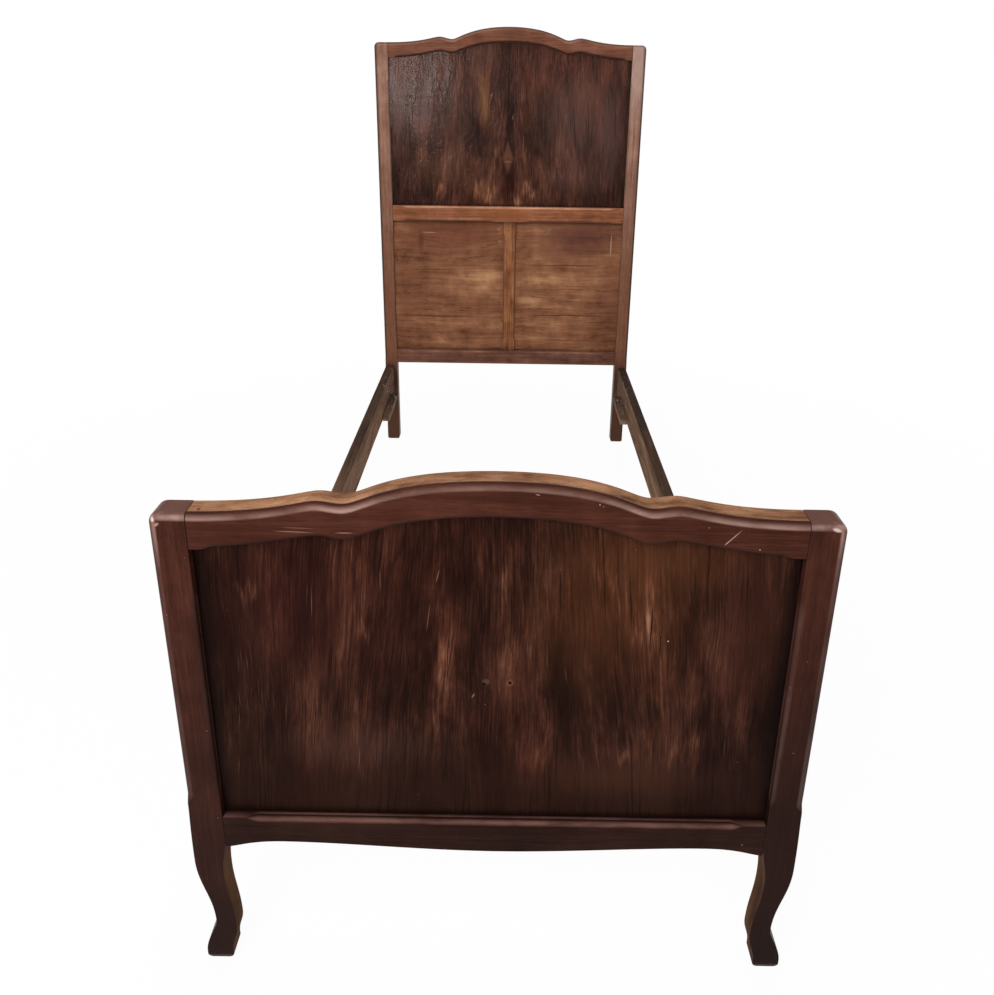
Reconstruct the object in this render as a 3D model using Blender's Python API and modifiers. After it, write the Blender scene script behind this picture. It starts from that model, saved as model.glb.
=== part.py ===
"""A French country single bed: a tall panelled headboard and a low panelled footboard, joined by
side rails that hook into the posts. Metres, +Z up, the foot end towards -Y, the origin on the floor."""
import bmesh
import bpy
from math import cos, pi, sin, sqrt
from mathutils.geometry import interpolate_bezier

# The whole bed
BED_WIDTH = 0.856  # over the outer faces of the posts
INSIDE_LENGTH = 1.982  # from the back of the foot posts to the front of the head posts
POST_DEPTH = 0.038
CLEARANCE = 0.0003  # between faces that touch
EASE = 0.001  # arrises softened by wear

# Edge mouldings, which die out before they reach a corner
ROUND_FACE = 0.0105  # outer round-over, measured on the front face
ROUND_SIDE = 0.007  # outer round-over, measured on the side or top
ROUND_STOP_HEIGHT = 0.296  # where the outer round-over ends above the knees
OVOLO_FACE = 0.008  # stuck moulding round the panels, on the front face
OVOLO_DEPTH = 0.009
OVOLO_STOP = 0.032  # plain length left at each end of a stuck moulding
OVOLO_POST_STOP = 0.058  # the same, under the top rails on the posts
OVOLO_CREST_STOP = 0.014  # the same, on the top rails
STOP_RUN = 0.018  # length over which a moulding dies out

# Panels and joints
PANEL_SETBACK = 0.013  # from the front of the frame to the face of a panel
PANEL_THICKNESS = 0.008
GROOVE_DEPTH = 0.008
PANEL_PLAY = 0.001  # room for a panel to swell in its grooves
TENON_LENGTH = 0.030
TENON_THICKNESS = 0.012
TENON_SHOULDER = 0.011  # from the edge of a rail to its tenon

# Footboard
FOOT_POST_WIDTH = 0.046
FOOT_POST_HEIGHT = 0.751
FOOT_CORNER_RADIUS = 0.014  # outer top corner, seen from the front
FOOT_CREST_RISE = 0.047  # top rail at the middle, above the tops of the posts
FOOT_DIP_RISE = 0.0135
FOOT_DIP_X = 0.190
FOOT_SHOULDER_RISE = 0.017
FOOT_SHOULDER_X = 0.222
FOOT_TOP_RAIL_END = 0.049  # height of the top rail where it meets the posts
FOOT_SOFFIT_RISE = 0.0475  # its lower edge at the middle, above its ends
FOOT_SOFFIT_DIP_RISE = 0.0138
FOOT_SOFFIT_SHOULDER_RISE = 0.0185
FOOT_RAIL_TOP = 0.274  # bottom rail
FOOT_RAIL_END = 0.054  # height of the bottom rail where it meets the posts
FOOT_APRON_SAG = 0.0005  # its lower edge at the middle, below its ends
FOOT_APRON_RISE = 0.011  # its lower edge beside the legs, above its ends
FOOT_APRON_RISE_X = 0.300

# Cabriole legs of the footboard, as heights and as offsets from the faces of the post above
LEG_TOP = 0.240
KNEE_HEIGHT = 0.195
KNEE_FLARE = 0.002
ANKLE_HEIGHT = 0.074
ANKLE_INSET = 0.0175
TOE_HEIGHT = 0.012
TOE_FLARE = 0.002
TOE_ROUND = 0.006
HOLLOW_HEIGHT = 0.165  # inner side, behind the knee
HOLLOW_INSET = 0.0085
HEEL_HEIGHT = 0.064
HEEL_FLARE = 0.0015
HEEL_INSET = 0.009
ANKLE_DEPTH = 0.030
FOOT_DEPTH = 0.036

# Headboard
HEAD_POST_WIDTH = 0.042
HEAD_POST_HEIGHT = 1.347
HEAD_CORNER_RADIUS = 0.014
HEAD_CREST_RISE = 0.049
HEAD_DIP_RISE = 0.0115
HEAD_DIP_X = 0.182
HEAD_SHOULDER_RISE = 0.018
HEAD_SHOULDER_X = 0.222
HEAD_TOP_RAIL_END = 0.045
HEAD_SOFFIT_RISE = 0.0485
HEAD_SOFFIT_DIP_RISE = 0.0150
HEAD_SOFFIT_SHOULDER_RISE = 0.0200
HEAD_MID_RAIL_BOTTOM = 0.792
HEAD_MID_RAIL_HEIGHT = 0.050
HEAD_LOW_RAIL_BOTTOM = 0.293
HEAD_LOW_RAIL_HEIGHT = 0.047
HEAD_RAIL_DEPTH = 0.032
MUNTIN_WIDTH = 0.040
MUNTIN_SHIFT = 0.007  # the muntin stands a little right of the middle
MUNTIN_TENON_LENGTH = 0.015

# Side rails and the ledges that carry the sommier
SIDE_RAIL_THICKNESS = 0.026
SIDE_RAIL_TOP = 0.284
SIDE_RAIL_HEIGHT = 0.095
SIDE_RAIL_INSET = 0.003  # behind the outer faces of the posts
SIDE_RAIL_EDGE = 0.0025
CLEAT_WIDTH = 0.0225
CLEAT_HEIGHT = 0.020
CLEAT_LENGTH = 0.215
CLEAT_FROM_POST = 0.090
CLEAT_EDGE = 0.0015

# Bed hooks
PLATE_WIDTH = 0.018
PLATE_MARGIN = 0.012  # iron above and below a slot
POST_PLATE_THICKNESS = 0.0025
HOOK_PLATE_THICKNESS = 0.003
HOOK_WIDTH = 0.004
HOOK_ROOT = 0.012
HOOK_LIP = 0.010  # hangs behind the post plate
HOOK_LIP_THICKNESS = 0.004
HOOK_LIFT = 0.012  # how far a side rail is raised to free it
HOOK_PLAY = 0.001
HOOKS_PER_PLATE = 2

HALF_WIDTH = BED_WIDTH / 2
HALF_INSIDE = INSIDE_LENGTH / 2
FOOT_REACH = HALF_WIDTH - FOOT_POST_WIDTH  # middle of the bed to the inner face of a foot post
HEAD_REACH = HALF_WIDTH - HEAD_POST_WIDTH
FOOT_SOFFIT = FOOT_POST_HEIGHT - FOOT_TOP_RAIL_END  # lower edge of the top rail at the posts
HEAD_SOFFIT = HEAD_POST_HEIGHT - HEAD_TOP_RAIL_END
FOOT_APRON = FOOT_RAIL_TOP - FOOT_RAIL_END  # lower edge of the bottom rail at the posts
HEAD_MID_RAIL_TOP = HEAD_MID_RAIL_BOTTOM + HEAD_MID_RAIL_HEIGHT
HEAD_LOW_RAIL_TOP = HEAD_LOW_RAIL_BOTTOM + HEAD_LOW_RAIL_HEIGHT
TENON_SETBACK = PANEL_SETBACK + PANEL_THICKNESS / 2 - TENON_THICKNESS / 2
SIDE_RAIL_X = HALF_WIDTH - SIDE_RAIL_INSET - SIDE_RAIL_THICKNESS / 2
SIDE_RAIL_MIDDLE = SIDE_RAIL_TOP - SIDE_RAIL_HEIGHT / 2
SLOT_HEIGHT = HOOK_ROOT + HOOK_LIFT + HOOK_PLAY
SLOT_PITCH = SLOT_HEIGHT + PLATE_MARGIN
SLOT_WIDTH = HOOK_WIDTH + 2 * HOOK_PLAY
PLATE_HEIGHT = HOOKS_PER_PLATE * SLOT_PITCH + PLATE_MARGIN
POCKET_DEPTH = CLEARANCE + HOOK_LIP_THICKNESS + HOOK_PLAY  # behind a post plate
MUNTIN_LEFT = MUNTIN_SHIFT - MUNTIN_WIDTH / 2
MUNTIN_RIGHT = MUNTIN_SHIFT + MUNTIN_WIDTH / 2
SIDES = {"left": -1, "right": 1}
ENDS = {"foot": -1, "head": 1}


def start_scene():
    """Empty scene with a collection for the bed and one for what cuts and joins its timbers."""
    for old in list(bpy.data.objects):
        bpy.data.objects.remove(old)
    made = []
    for name in ("single_bed", "cutters"):
        collection = bpy.data.collections.new(name)
        bpy.context.scene.collection.children.link(collection)
        made.append(collection)
    return made


def material(name, colour, roughness, metallic=0.0):
    made = bpy.data.materials.new(name)
    made.use_nodes = True
    shader = made.node_tree.nodes["Principled BSDF"]
    shader.inputs["Base Color"].default_value = (*colour, 1.0)
    shader.inputs["Roughness"].default_value = roughness
    shader.inputs["Metallic"].default_value = metallic
    return made


def empty(name, location):
    made = bpy.data.objects.new(name, None)
    made.location = location
    BED.objects.link(made)
    return made


def add(name, mesh, parent, location, finish=None):
    """Object of the bed or, without a finish, a cutter."""
    made = bpy.data.objects.new(name, mesh)
    made.parent = parent
    made.location = location
    if finish:
        mesh.materials.append(finish)
        BED.objects.link(made)
    else:
        CUTTERS.objects.link(made)
        made.hide_render = True
        made.display_type = "WIRE"
    return made


def block(name, low, high, parent, finish=None):
    """Square timber between opposite corners, with its origin at its middle."""
    shape = bmesh.new()
    bmesh.ops.create_cube(shape, size=1.0)
    size = [b - a for a, b in zip(low, high)]
    bmesh.ops.scale(shape, vec=size, verts=shape.verts)
    mesh = bpy.data.meshes.new(name)
    shape.to_mesh(mesh)
    shape.free()
    middle = [(a + b) / 2 for a, b in zip(low, high)]
    return add(name, mesh, parent, middle, finish)


def loft(name, rings, parent, location, finish=None):
    """Closed solid through a row of sections with equal point counts."""
    shape = bmesh.new()
    rows = [[shape.verts.new(point) for point in ring] for ring in rings]
    for row, following in zip(rows, rows[1:]):
        for i in range(len(row)):
            j = (i + 1) % len(row)
            shape.faces.new((row[i], row[j], following[j], following[i]))
    shape.faces.new(rows[0])
    shape.faces.new(rows[-1])
    bmesh.ops.recalc_face_normals(shape, faces=shape.faces)
    mesh = bpy.data.meshes.new(name)
    shape.to_mesh(mesh)
    shape.free()
    return add(name, mesh, parent, location, finish)


def board(name, outline, thickness, parent, location, turn, finish=None):
    """Flat outline sawn from a board, as a filled 2D curve made into a welded mesh."""
    curve = bpy.data.curves.new(name, "CURVE")
    curve.dimensions = "2D"
    curve.fill_mode = "BOTH"
    curve.extrude = thickness / 2
    spline = curve.splines.new("POLY")
    spline.points.add(len(outline) - 1)
    for point, (x, y) in zip(spline.points, outline):
        point.co = (x, y, 0, 1)
    spline.use_cyclic_u = True
    drawn = bpy.data.objects.new(name + "_outline", curve)
    BED.objects.link(drawn)
    depsgraph = bpy.context.evaluated_depsgraph_get()
    mesh = bpy.data.meshes.new_from_object(drawn.evaluated_get(depsgraph))
    bpy.data.objects.remove(drawn)
    shape = bmesh.new()
    shape.from_mesh(mesh)
    bmesh.ops.remove_doubles(shape, verts=shape.verts, dist=EASE / 100)
    bmesh.ops.recalc_face_normals(shape, faces=shape.faces)
    shape.to_mesh(mesh)
    shape.free()
    mesh.name = name
    made = add(name, mesh, parent, location, finish)
    made.rotation_euler = turn
    return made


def boolean(piece, other, operation):
    modifier = piece.modifiers.new(other.name, "BOOLEAN")
    modifier.operation = operation
    modifier.object = other


def ease_edges(piece, width):
    modifier = piece.modifiers.new("ease", "BEVEL")
    modifier.width = width
    modifier.segments = 2


def smooth(share):
    share = min(max(share, 0.0), 1.0)
    return share * share * (3 - 2 * share)


def stopped(place, start, end):
    """Share of its full size that a moulding has at a place, dying out towards both ends."""
    return smooth((place - start) / STOP_RUN) * smooth((end - place) / STOP_RUN)


def spread(low, high, count):
    return [low + (high - low) * i / (count - 1) for i in range(count)]


def in_order(places, least=0.0006):
    """Places along a timber from low to high, without near repeats."""
    kept = []
    for place in sorted(places):
        if not kept or place - kept[-1] > least:
            kept.append(place)
    kept[-1] = max(places)
    return kept


def flowing(knots, base=0.0, steps=24):
    """Offset from a base along a timber: Bezier spans with level ends through (place, offset, back, on)
    knots, where back and on are the handles' shares of the spans before and after the knot."""
    line = []
    for (x0, z0, _, on), (x1, z1, back, _) in zip(knots, knots[1:]):
        span = x1 - x0
        handles = ((x0 + on * span, 0, z0), (x1 - back * span, 0, z1))
        line += interpolate_bezier((x0, 0, z0), *handles, (x1, 0, z1), steps)

    def offset(place):
        place = abs(place)
        for a, b in zip(line, line[1:]):
            if a.x <= place < b.x:
                return base + a.z + (b.z - a.z) * (place - a.x) / (b.x - a.x)
        return base + (line[0].z if place < line[0].x else line[-1].z)

    return offset


def section(a0, a1, b0, b1, corners):
    """Rectangle from (a0, b0) to (a1, b1) with an elliptical round (size along a, size along b, steps)
    at each corner, in turn from (a0, b0) by way of (a1, b0)."""
    points = []
    inward = ((1, 1), (-1, 1), (-1, -1), (1, -1))
    for turn, ((ra, rb, steps), (da, db)) in enumerate(zip(corners, inward)):
        middle_a = (a0 if da > 0 else a1) + da * ra
        middle_b = (b0 if db > 0 else b1) + db * rb
        for i in range(steps + 1):
            angle = pi + turn * pi / 2 + i / steps * pi / 2
            points.append((middle_a + ra * cos(angle), middle_b + rb * sin(angle)))
    return points


def grown(size, full, share):
    return size + (full - size) * share


def round_over(share):
    return grown(EASE, ROUND_FACE, share), grown(EASE, ROUND_SIDE, share), 4


def ovolo(share):
    return grown(EASE, OVOLO_FACE, share), grown(EASE, OVOLO_DEPTH, share), 3


def swapped(corner):
    return corner[1], corner[0], corner[2]


EASED = (EASE, EASE, 1)


def fall(height, top, rise, run):
    """How far a quarter ellipse, rising to a top edge, has drawn back at a height."""
    share = min(max((height - top + rise) / rise, 0.0), 1.0)
    return run * (1 - sqrt(1 - share * share))


def stop_places(start, end):
    """Places where a moulding grows to its full size and where it dies out again."""
    return spread(start, start + STOP_RUN, 5) + spread(end - STOP_RUN, end, 5)


def run_share(place, runs, stop=OVOLO_STOP):
    """Share of its full size of a stuck moulding that is stopped inside both ends of each run."""
    shares = [stopped(place, low + stop, high - stop) for low, high in runs]
    return max(shares, default=0.0)


def run_places(runs, stop=OVOLO_STOP):
    places = []
    for low, high in runs:
        places += stop_places(low + stop, high - stop)
    return places


def both_ways(places):
    return places + [-place for place in places]


def level(height):
    return lambda place: height


def lengthwise(a, b):
    return min(a, b), max(a, b)


def post(name, side, height, radius, mouldings, leg, levels, parent, finish):
    """Upright timber lofted from the floor up: a round-over on its outer arris, stuck mouldings beside
    the panels and a leg given by its outer, inner and back offsets and its rounding at each height."""
    deepest = max(radius, ROUND_FACE)
    levels = levels + [height - deepest * (1 - sin(i / 7 * pi / 2)) for i in range(8)]
    levels += spread(ROUND_STOP_HEIGHT, ROUND_STOP_HEIGHT + STOP_RUN, 5)
    for start, end in mouldings:
        levels += stop_places(start, end)
    rings = []
    for z in in_order(levels):
        outer, inner, depth, foot = leg(z)
        softened = min(foot, EASE)
        corner = fall(z, height, radius, radius)
        front = fall(z, height, ROUND_FACE, ROUND_SIDE)
        moulded = max(stopped(z, start, end) for start, end in mouldings)
        rounded = smooth((z - ROUND_STOP_HEIGHT) / STOP_RUN)
        corners = (round_over(rounded), ovolo(moulded), EASED, EASED)
        outline = section(outer + corner + foot, inner - foot, front + softened, depth - softened, corners)
        rings.append([(-side * a, b, z) for a, b in outline])
    return loft(name, rings, parent, (side * HALF_WIDTH, 0, 0), finish)


def rail(name, reach, top, bottom, depth, corners_at, stations, parent, finish):
    """Level timber lofted from side to side, with its upper and lower edges as heights at each place."""
    end = reach - CLEARANCE
    places = in_order([x for x in stations if abs(x) < end] + [-end, end])
    rings = []
    for x in places:
        outline = section(0, depth, bottom(x), top(x), corners_at(x))
        rings.append([(x, a, b) for a, b in outline])
    return loft(name, rings, parent, (0, 0, 0), finish)


def crest_corners(runs):
    """Corners of a top rail: stuck moulding below, round-over on the front of its top."""
    return lambda x: (swapped(ovolo(run_share(x, runs, OVOLO_CREST_STOP))), EASED, EASED,
                      swapped(round_over(1)))


def straight_corners(below, above):
    """Corners of a straight rail with the runs of stuck moulding on its lower and upper edges."""
    return lambda x: (swapped(ovolo(run_share(x, below))), EASED, EASED, swapped(ovolo(run_share(x, above))))


def tenon(piece, carrier, name, low, high):
    """Tenon fused to a timber between opposite corners, and its mortise in the timber that takes it."""
    boolean(piece, block(name + "_tenon", low, high, piece.parent), "UNION")
    low = [a - CLEARANCE for a in low]
    high = [b + CLEARANCE for b in high]
    boolean(carrier, block(name + "_mortise", low, high, piece.parent), "DIFFERENCE")


def end_tenons(piece, reach, bottom, top, posts):
    """Tenons at both ends of a rail, let into the posts."""
    front, back = TENON_SETBACK, TENON_SETBACK + TENON_THICKNESS
    for (word, side), upright in zip(SIDES.items(), posts):
        x0, x1 = lengthwise(side * (reach - TENON_LENGTH), side * (reach + TENON_LENGTH))
        tenon(piece, upright, f"{piece.name}_{word}", (x0, front, bottom), (x1, back, top))


def groove(name, low, high, bottom, top, parent):
    """Square box that ploughs panel grooves into the timbers round a panel."""
    front = PANEL_SETBACK - CLEARANCE
    back = PANEL_SETBACK + PANEL_THICKNESS + CLEARANCE
    return block(name, (low, front, bottom), (high, back, top), parent)


def curved_groove(name, reach, soffit, stations, parent):
    """Panel groove that follows the curved lower edge of a top rail."""
    front = PANEL_SETBACK - CLEARANCE
    back = PANEL_SETBACK + PANEL_THICKNESS + CLEARANCE
    end = reach + GROOVE_DEPTH
    rings = []
    for x in in_order([x for x in stations if abs(x) < reach] + [-end, end]):
        low, high = soffit(x) - GROOVE_DEPTH, soffit(x) + GROOVE_DEPTH
        rings.append([(x, front, low), (x, back, low), (x, back, high), (x, front, high)])
    return loft(name, rings, parent, (0, 0, 0))


def panel(name, left, right, bottom, top, stations, parent, finish):
    """Thin panel that enters the grooves round it, its top edge given at each place."""
    entry = GROOVE_DEPTH - PANEL_PLAY
    low, high = left - entry, right + entry
    places = in_order([x for x in stations if low < x < high] + [low, high])
    outline = [(x, top(x) + entry) for x in places]
    outline += [(high, bottom - entry), (low, bottom - entry)]
    place = (0, PANEL_SETBACK + PANEL_THICKNESS / 2, 0)
    return board(name, outline, PANEL_THICKNESS, parent, place, (pi / 2, 0, 0), finish)


def cabriole_leg():
    """Offsets of a foot post at each height: outer face, inner face, back and rounding at the floor."""
    outer = flowing(((TOE_HEIGHT, -TOE_FLARE, 0, 0.40), (ANKLE_HEIGHT, ANKLE_INSET, 0.22, 0.42),
                     (KNEE_HEIGHT, -KNEE_FLARE, 0.42, 0.6), (ROUND_STOP_HEIGHT, 0, 0.2, 0)))
    inner = flowing(((TOE_HEIGHT, FOOT_POST_WIDTH - HEEL_INSET, 0, 0.35),
                     (HEEL_HEIGHT, FOOT_POST_WIDTH + HEEL_FLARE, 0.40, 0.42),
                     (HOLLOW_HEIGHT, FOOT_POST_WIDTH - HOLLOW_INSET, 0.42, 0.42),
                     (LEG_TOP, FOOT_POST_WIDTH, 0.42, 0)))
    back = flowing(((TOE_HEIGHT, FOOT_DEPTH, 0, 0.42), (ANKLE_HEIGHT, ANKLE_DEPTH, 0.42, 0.42),
                    (KNEE_HEIGHT, POST_DEPTH, 0.42, 0)))

    def leg(z):
        lift = min(z, TOE_ROUND)
        foot = TOE_ROUND - sqrt(TOE_ROUND ** 2 - (TOE_ROUND - lift) ** 2)
        return outer(z), inner(z), back(z), foot

    return leg


def straight_leg(z):
    """Offsets of a head post, which runs straight down to the floor with its end eased."""
    return 0, HEAD_POST_WIDTH, POST_DEPTH, max(EASE - z, 0)


def make_foot_posts(frame, wood):
    mouldings = ((FOOT_RAIL_TOP + OVOLO_STOP, FOOT_SOFFIT - OVOLO_POST_STOP),)
    levels = spread(0, TOE_ROUND, 4) + spread(TOE_ROUND, LEG_TOP, 24)
    return [post(f"footboard_{word}_post", side, FOOT_POST_HEIGHT, FOOT_CORNER_RADIUS, mouldings,
                 cabriole_leg(), levels, frame, wood) for word, side in SIDES.items()]


def make_foot_top_rail(frame, posts, soffit, wood):
    top = flowing(((0, FOOT_CREST_RISE, 0, 0.74), (FOOT_DIP_X, FOOT_DIP_RISE, 0.13, 0.4),
                   (FOOT_SHOULDER_X, FOOT_SHOULDER_RISE, 0.4, 0.12), (FOOT_REACH, 0, 0.66, 0)),
                  FOOT_POST_HEIGHT)
    runs = ((-FOOT_REACH, FOOT_REACH),)
    stations = both_ways(spread(0, FOOT_REACH, 27)) + run_places(runs, OVOLO_CREST_STOP)
    crest = rail("footboard_top_rail", FOOT_REACH, top, soffit, POST_DEPTH, crest_corners(runs), stations,
                 frame, wood)
    end_tenons(crest, FOOT_REACH, FOOT_SOFFIT + TENON_SHOULDER,
               FOOT_POST_HEIGHT - TENON_SHOULDER - ROUND_SIDE, posts)
    ploughed = curved_groove("footboard_top_groove", FOOT_REACH, soffit, stations, frame)
    boolean(crest, ploughed, "DIFFERENCE")


def make_foot_bottom_rail(frame, posts, wood):
    apron = flowing(((0, -FOOT_APRON_SAG, 0, 0.36), (FOOT_APRON_RISE_X, FOOT_APRON_RISE, 0.3, 0.6),
                     (FOOT_REACH, 0, 0.2, 0)), FOOT_APRON)
    runs = ((-FOOT_REACH, FOOT_REACH),)
    stations = both_ways(spread(0, FOOT_REACH, 18)) + run_places(runs)
    low_rail = rail("footboard_bottom_rail", FOOT_REACH, level(FOOT_RAIL_TOP), apron, POST_DEPTH,
                    straight_corners((), runs), stations, frame, wood)
    end_tenons(low_rail, FOOT_REACH, FOOT_APRON + TENON_SHOULDER, FOOT_RAIL_TOP - TENON_SHOULDER, posts)
    return low_rail


def make_footboard(wood, figured):
    """Posts, rails and one panel, framed together."""
    frame = empty("footboard", (0, -HALF_INSIDE - POST_DEPTH, 0))
    posts = make_foot_posts(frame, wood)
    soffit = flowing(((0, FOOT_SOFFIT_RISE, 0, 0.74), (FOOT_DIP_X, FOOT_SOFFIT_DIP_RISE, 0.13, 0.4),
                      (FOOT_SHOULDER_X, FOOT_SOFFIT_SHOULDER_RISE, 0.4, 0.12), (FOOT_REACH, 0, 0.45, 0)),
                     FOOT_SOFFIT)
    make_foot_top_rail(frame, posts, soffit, wood)
    low_rail = make_foot_bottom_rail(frame, posts, wood)
    reach = FOOT_REACH + GROOVE_DEPTH
    ploughed = groove("footboard_groove", -reach, reach, FOOT_RAIL_TOP - GROOVE_DEPTH,
                      FOOT_SOFFIT + GROOVE_DEPTH, frame)
    for timber in (*posts, low_rail):
        boolean(timber, ploughed, "DIFFERENCE")
    panel("footboard_panel", -FOOT_REACH, FOOT_REACH, FOOT_RAIL_TOP, soffit,
          spread(-FOOT_REACH, FOOT_REACH, 53), frame, figured)
    return frame, posts


def make_head_posts(frame, wood):
    lower = HEAD_LOW_RAIL_TOP + OVOLO_STOP, HEAD_MID_RAIL_BOTTOM - OVOLO_STOP
    upper = HEAD_MID_RAIL_TOP + OVOLO_STOP, HEAD_SOFFIT - OVOLO_POST_STOP
    return [post(f"headboard_{word}_post", side, HEAD_POST_HEIGHT, HEAD_CORNER_RADIUS, (lower, upper),
                 straight_leg, [0, EASE], frame, wood) for word, side in SIDES.items()]


def make_head_top_rail(frame, posts, soffit, wood):
    top = flowing(((0, HEAD_CREST_RISE, 0, 0.68), (HEAD_DIP_X, HEAD_DIP_RISE, 0.10, 0.4),
                   (HEAD_SHOULDER_X, HEAD_SHOULDER_RISE, 0.4, 0.12), (HEAD_REACH, 0, 0.66, 0)),
                  HEAD_POST_HEIGHT)
    runs = ((-HEAD_REACH, HEAD_REACH),)
    stations = both_ways(spread(0, HEAD_REACH, 27)) + run_places(runs, OVOLO_CREST_STOP)
    crest = rail("headboard_top_rail", HEAD_REACH, top, soffit, POST_DEPTH, crest_corners(runs), stations,
                 frame, wood)
    end_tenons(crest, HEAD_REACH, HEAD_SOFFIT + TENON_SHOULDER,
               HEAD_POST_HEIGHT - TENON_SHOULDER - ROUND_SIDE, posts)
    ploughed = curved_groove("headboard_top_groove", HEAD_REACH, soffit, stations, frame)
    boolean(crest, ploughed, "DIFFERENCE")


def make_head_straight_rails(frame, posts, lower_runs, wood):
    """Mid rail and bottom rail, with stuck mouldings towards their panels."""
    upper_runs = ((-HEAD_REACH, HEAD_REACH),)
    stations = run_places((*upper_runs, *lower_runs))
    made = []
    for word, bottom, top, below, above in (
            ("mid", HEAD_MID_RAIL_BOTTOM, HEAD_MID_RAIL_TOP, lower_runs, upper_runs),
            ("bottom", HEAD_LOW_RAIL_BOTTOM, HEAD_LOW_RAIL_TOP, (), lower_runs)):
        timber = rail(f"headboard_{word}_rail", HEAD_REACH, level(top), level(bottom), HEAD_RAIL_DEPTH,
                      straight_corners(below, above), stations, frame, wood)
        end_tenons(timber, HEAD_REACH, bottom + TENON_SHOULDER, top - TENON_SHOULDER, posts)
        made.append(timber)
    return made


def make_muntin(frame, mid_rail, low_rail, wood):
    """Upright between the lower panels, tenoned into the rails above and below it."""
    bottom, top = HEAD_LOW_RAIL_TOP + CLEARANCE, HEAD_MID_RAIL_BOTTOM - CLEARANCE
    start, end = HEAD_LOW_RAIL_TOP + OVOLO_STOP, HEAD_MID_RAIL_BOTTOM - OVOLO_STOP
    rings = []
    for z in in_order([bottom, top] + stop_places(start, end)):
        moulded = ovolo(stopped(z, start, end))
        outline = section(MUNTIN_LEFT, MUNTIN_RIGHT, 0, HEAD_RAIL_DEPTH, (moulded, moulded, EASED, EASED))
        rings.append([(a, b, z) for a, b in outline])
    muntin = loft("headboard_muntin", rings, frame, (0, 0, 0), wood)
    left, right = MUNTIN_LEFT + TENON_SHOULDER, MUNTIN_RIGHT - TENON_SHOULDER
    front, back = TENON_SETBACK, TENON_SETBACK + TENON_THICKNESS
    joints = ("top", mid_rail, HEAD_MID_RAIL_BOTTOM), ("bottom", low_rail, HEAD_LOW_RAIL_TOP)
    for word, carrier, edge in joints:
        low, high = edge - MUNTIN_TENON_LENGTH, edge + MUNTIN_TENON_LENGTH
        tenon(muntin, carrier, f"headboard_muntin_{word}", (left, front, low), (right, back, high))
    return muntin


def make_headboard(wood, figured, plain):
    """Posts, rails and muntin, with one panel above and a pair of panels below."""
    frame = empty("headboard", (0, HALF_INSIDE, 0))
    posts = make_head_posts(frame, wood)
    soffit = flowing(((0, HEAD_SOFFIT_RISE, 0, 0.68), (HEAD_DIP_X, HEAD_SOFFIT_DIP_RISE, 0.10, 0.4),
                      (HEAD_SHOULDER_X, HEAD_SOFFIT_SHOULDER_RISE, 0.4, 0.12), (HEAD_REACH, 0, 0.55, 0)),
                     HEAD_SOFFIT)
    make_head_top_rail(frame, posts, soffit, wood)
    bays = {"left": (-HEAD_REACH, MUNTIN_LEFT), "right": (MUNTIN_RIGHT, HEAD_REACH)}
    mid_rail, low_rail = make_head_straight_rails(frame, posts, tuple(bays.values()), wood)
    muntin = make_muntin(frame, mid_rail, low_rail, wood)
    reach = HEAD_REACH + GROOVE_DEPTH
    ploughed = groove("headboard_upper_groove", -reach, reach, HEAD_MID_RAIL_TOP - GROOVE_DEPTH,
                      HEAD_SOFFIT + GROOVE_DEPTH, frame)
    for timber in (*posts, mid_rail):
        boolean(timber, ploughed, "DIFFERENCE")
    panel("headboard_upper_panel", -HEAD_REACH, HEAD_REACH, HEAD_MID_RAIL_TOP, soffit,
          spread(-HEAD_REACH, HEAD_REACH, 53), frame, figured)
    for (word, (left, right)), upright in zip(bays.items(), posts):
        ploughed = groove(f"headboard_lower_{word}_groove", left - GROOVE_DEPTH, right + GROOVE_DEPTH,
                          HEAD_LOW_RAIL_TOP - GROOVE_DEPTH, HEAD_MID_RAIL_BOTTOM + GROOVE_DEPTH, frame)
        for timber in (upright, mid_rail, low_rail, muntin):
            boolean(timber, ploughed, "DIFFERENCE")
        panel(f"headboard_lower_{word}_panel", left, right, HEAD_LOW_RAIL_TOP, level(HEAD_MID_RAIL_BOTTOM),
              [], frame, plain)
    return frame, posts


def hook_outline(toward):
    """Side view of one hook, as (distance from the rail's end, height above its slot's floor)."""
    root = -HOOK_PLATE_THICKNESS / 2
    shank = POST_PLATE_THICKNESS + 2 * CLEARANCE
    tip = shank + HOOK_LIP_THICKNESS
    low, high = CLEARANCE - HOOK_LIP, CLEARANCE + HOOK_ROOT
    points = ((root, CLEARANCE), (shank, CLEARANCE), (shank, low), (tip, low), (tip, high), (root, high))
    return [(toward * y, z) for y, z in points]


def slot_floors():
    """Heights of the slots' lower ends, from the middle of a plate."""
    return [PLATE_MARGIN - PLATE_HEIGHT / 2 + i * SLOT_PITCH for i in range(HOOKS_PER_PLATE)]


def upright_block(name, x, width, near, far, low, high, parent, finish=None):
    """Block centred on x, between two places along the bed that may come in either order."""
    y0, y1 = lengthwise(near, far)
    return block(name, (x - width / 2, y0, low), (x + width / 2, y1, high), parent, finish)


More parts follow.
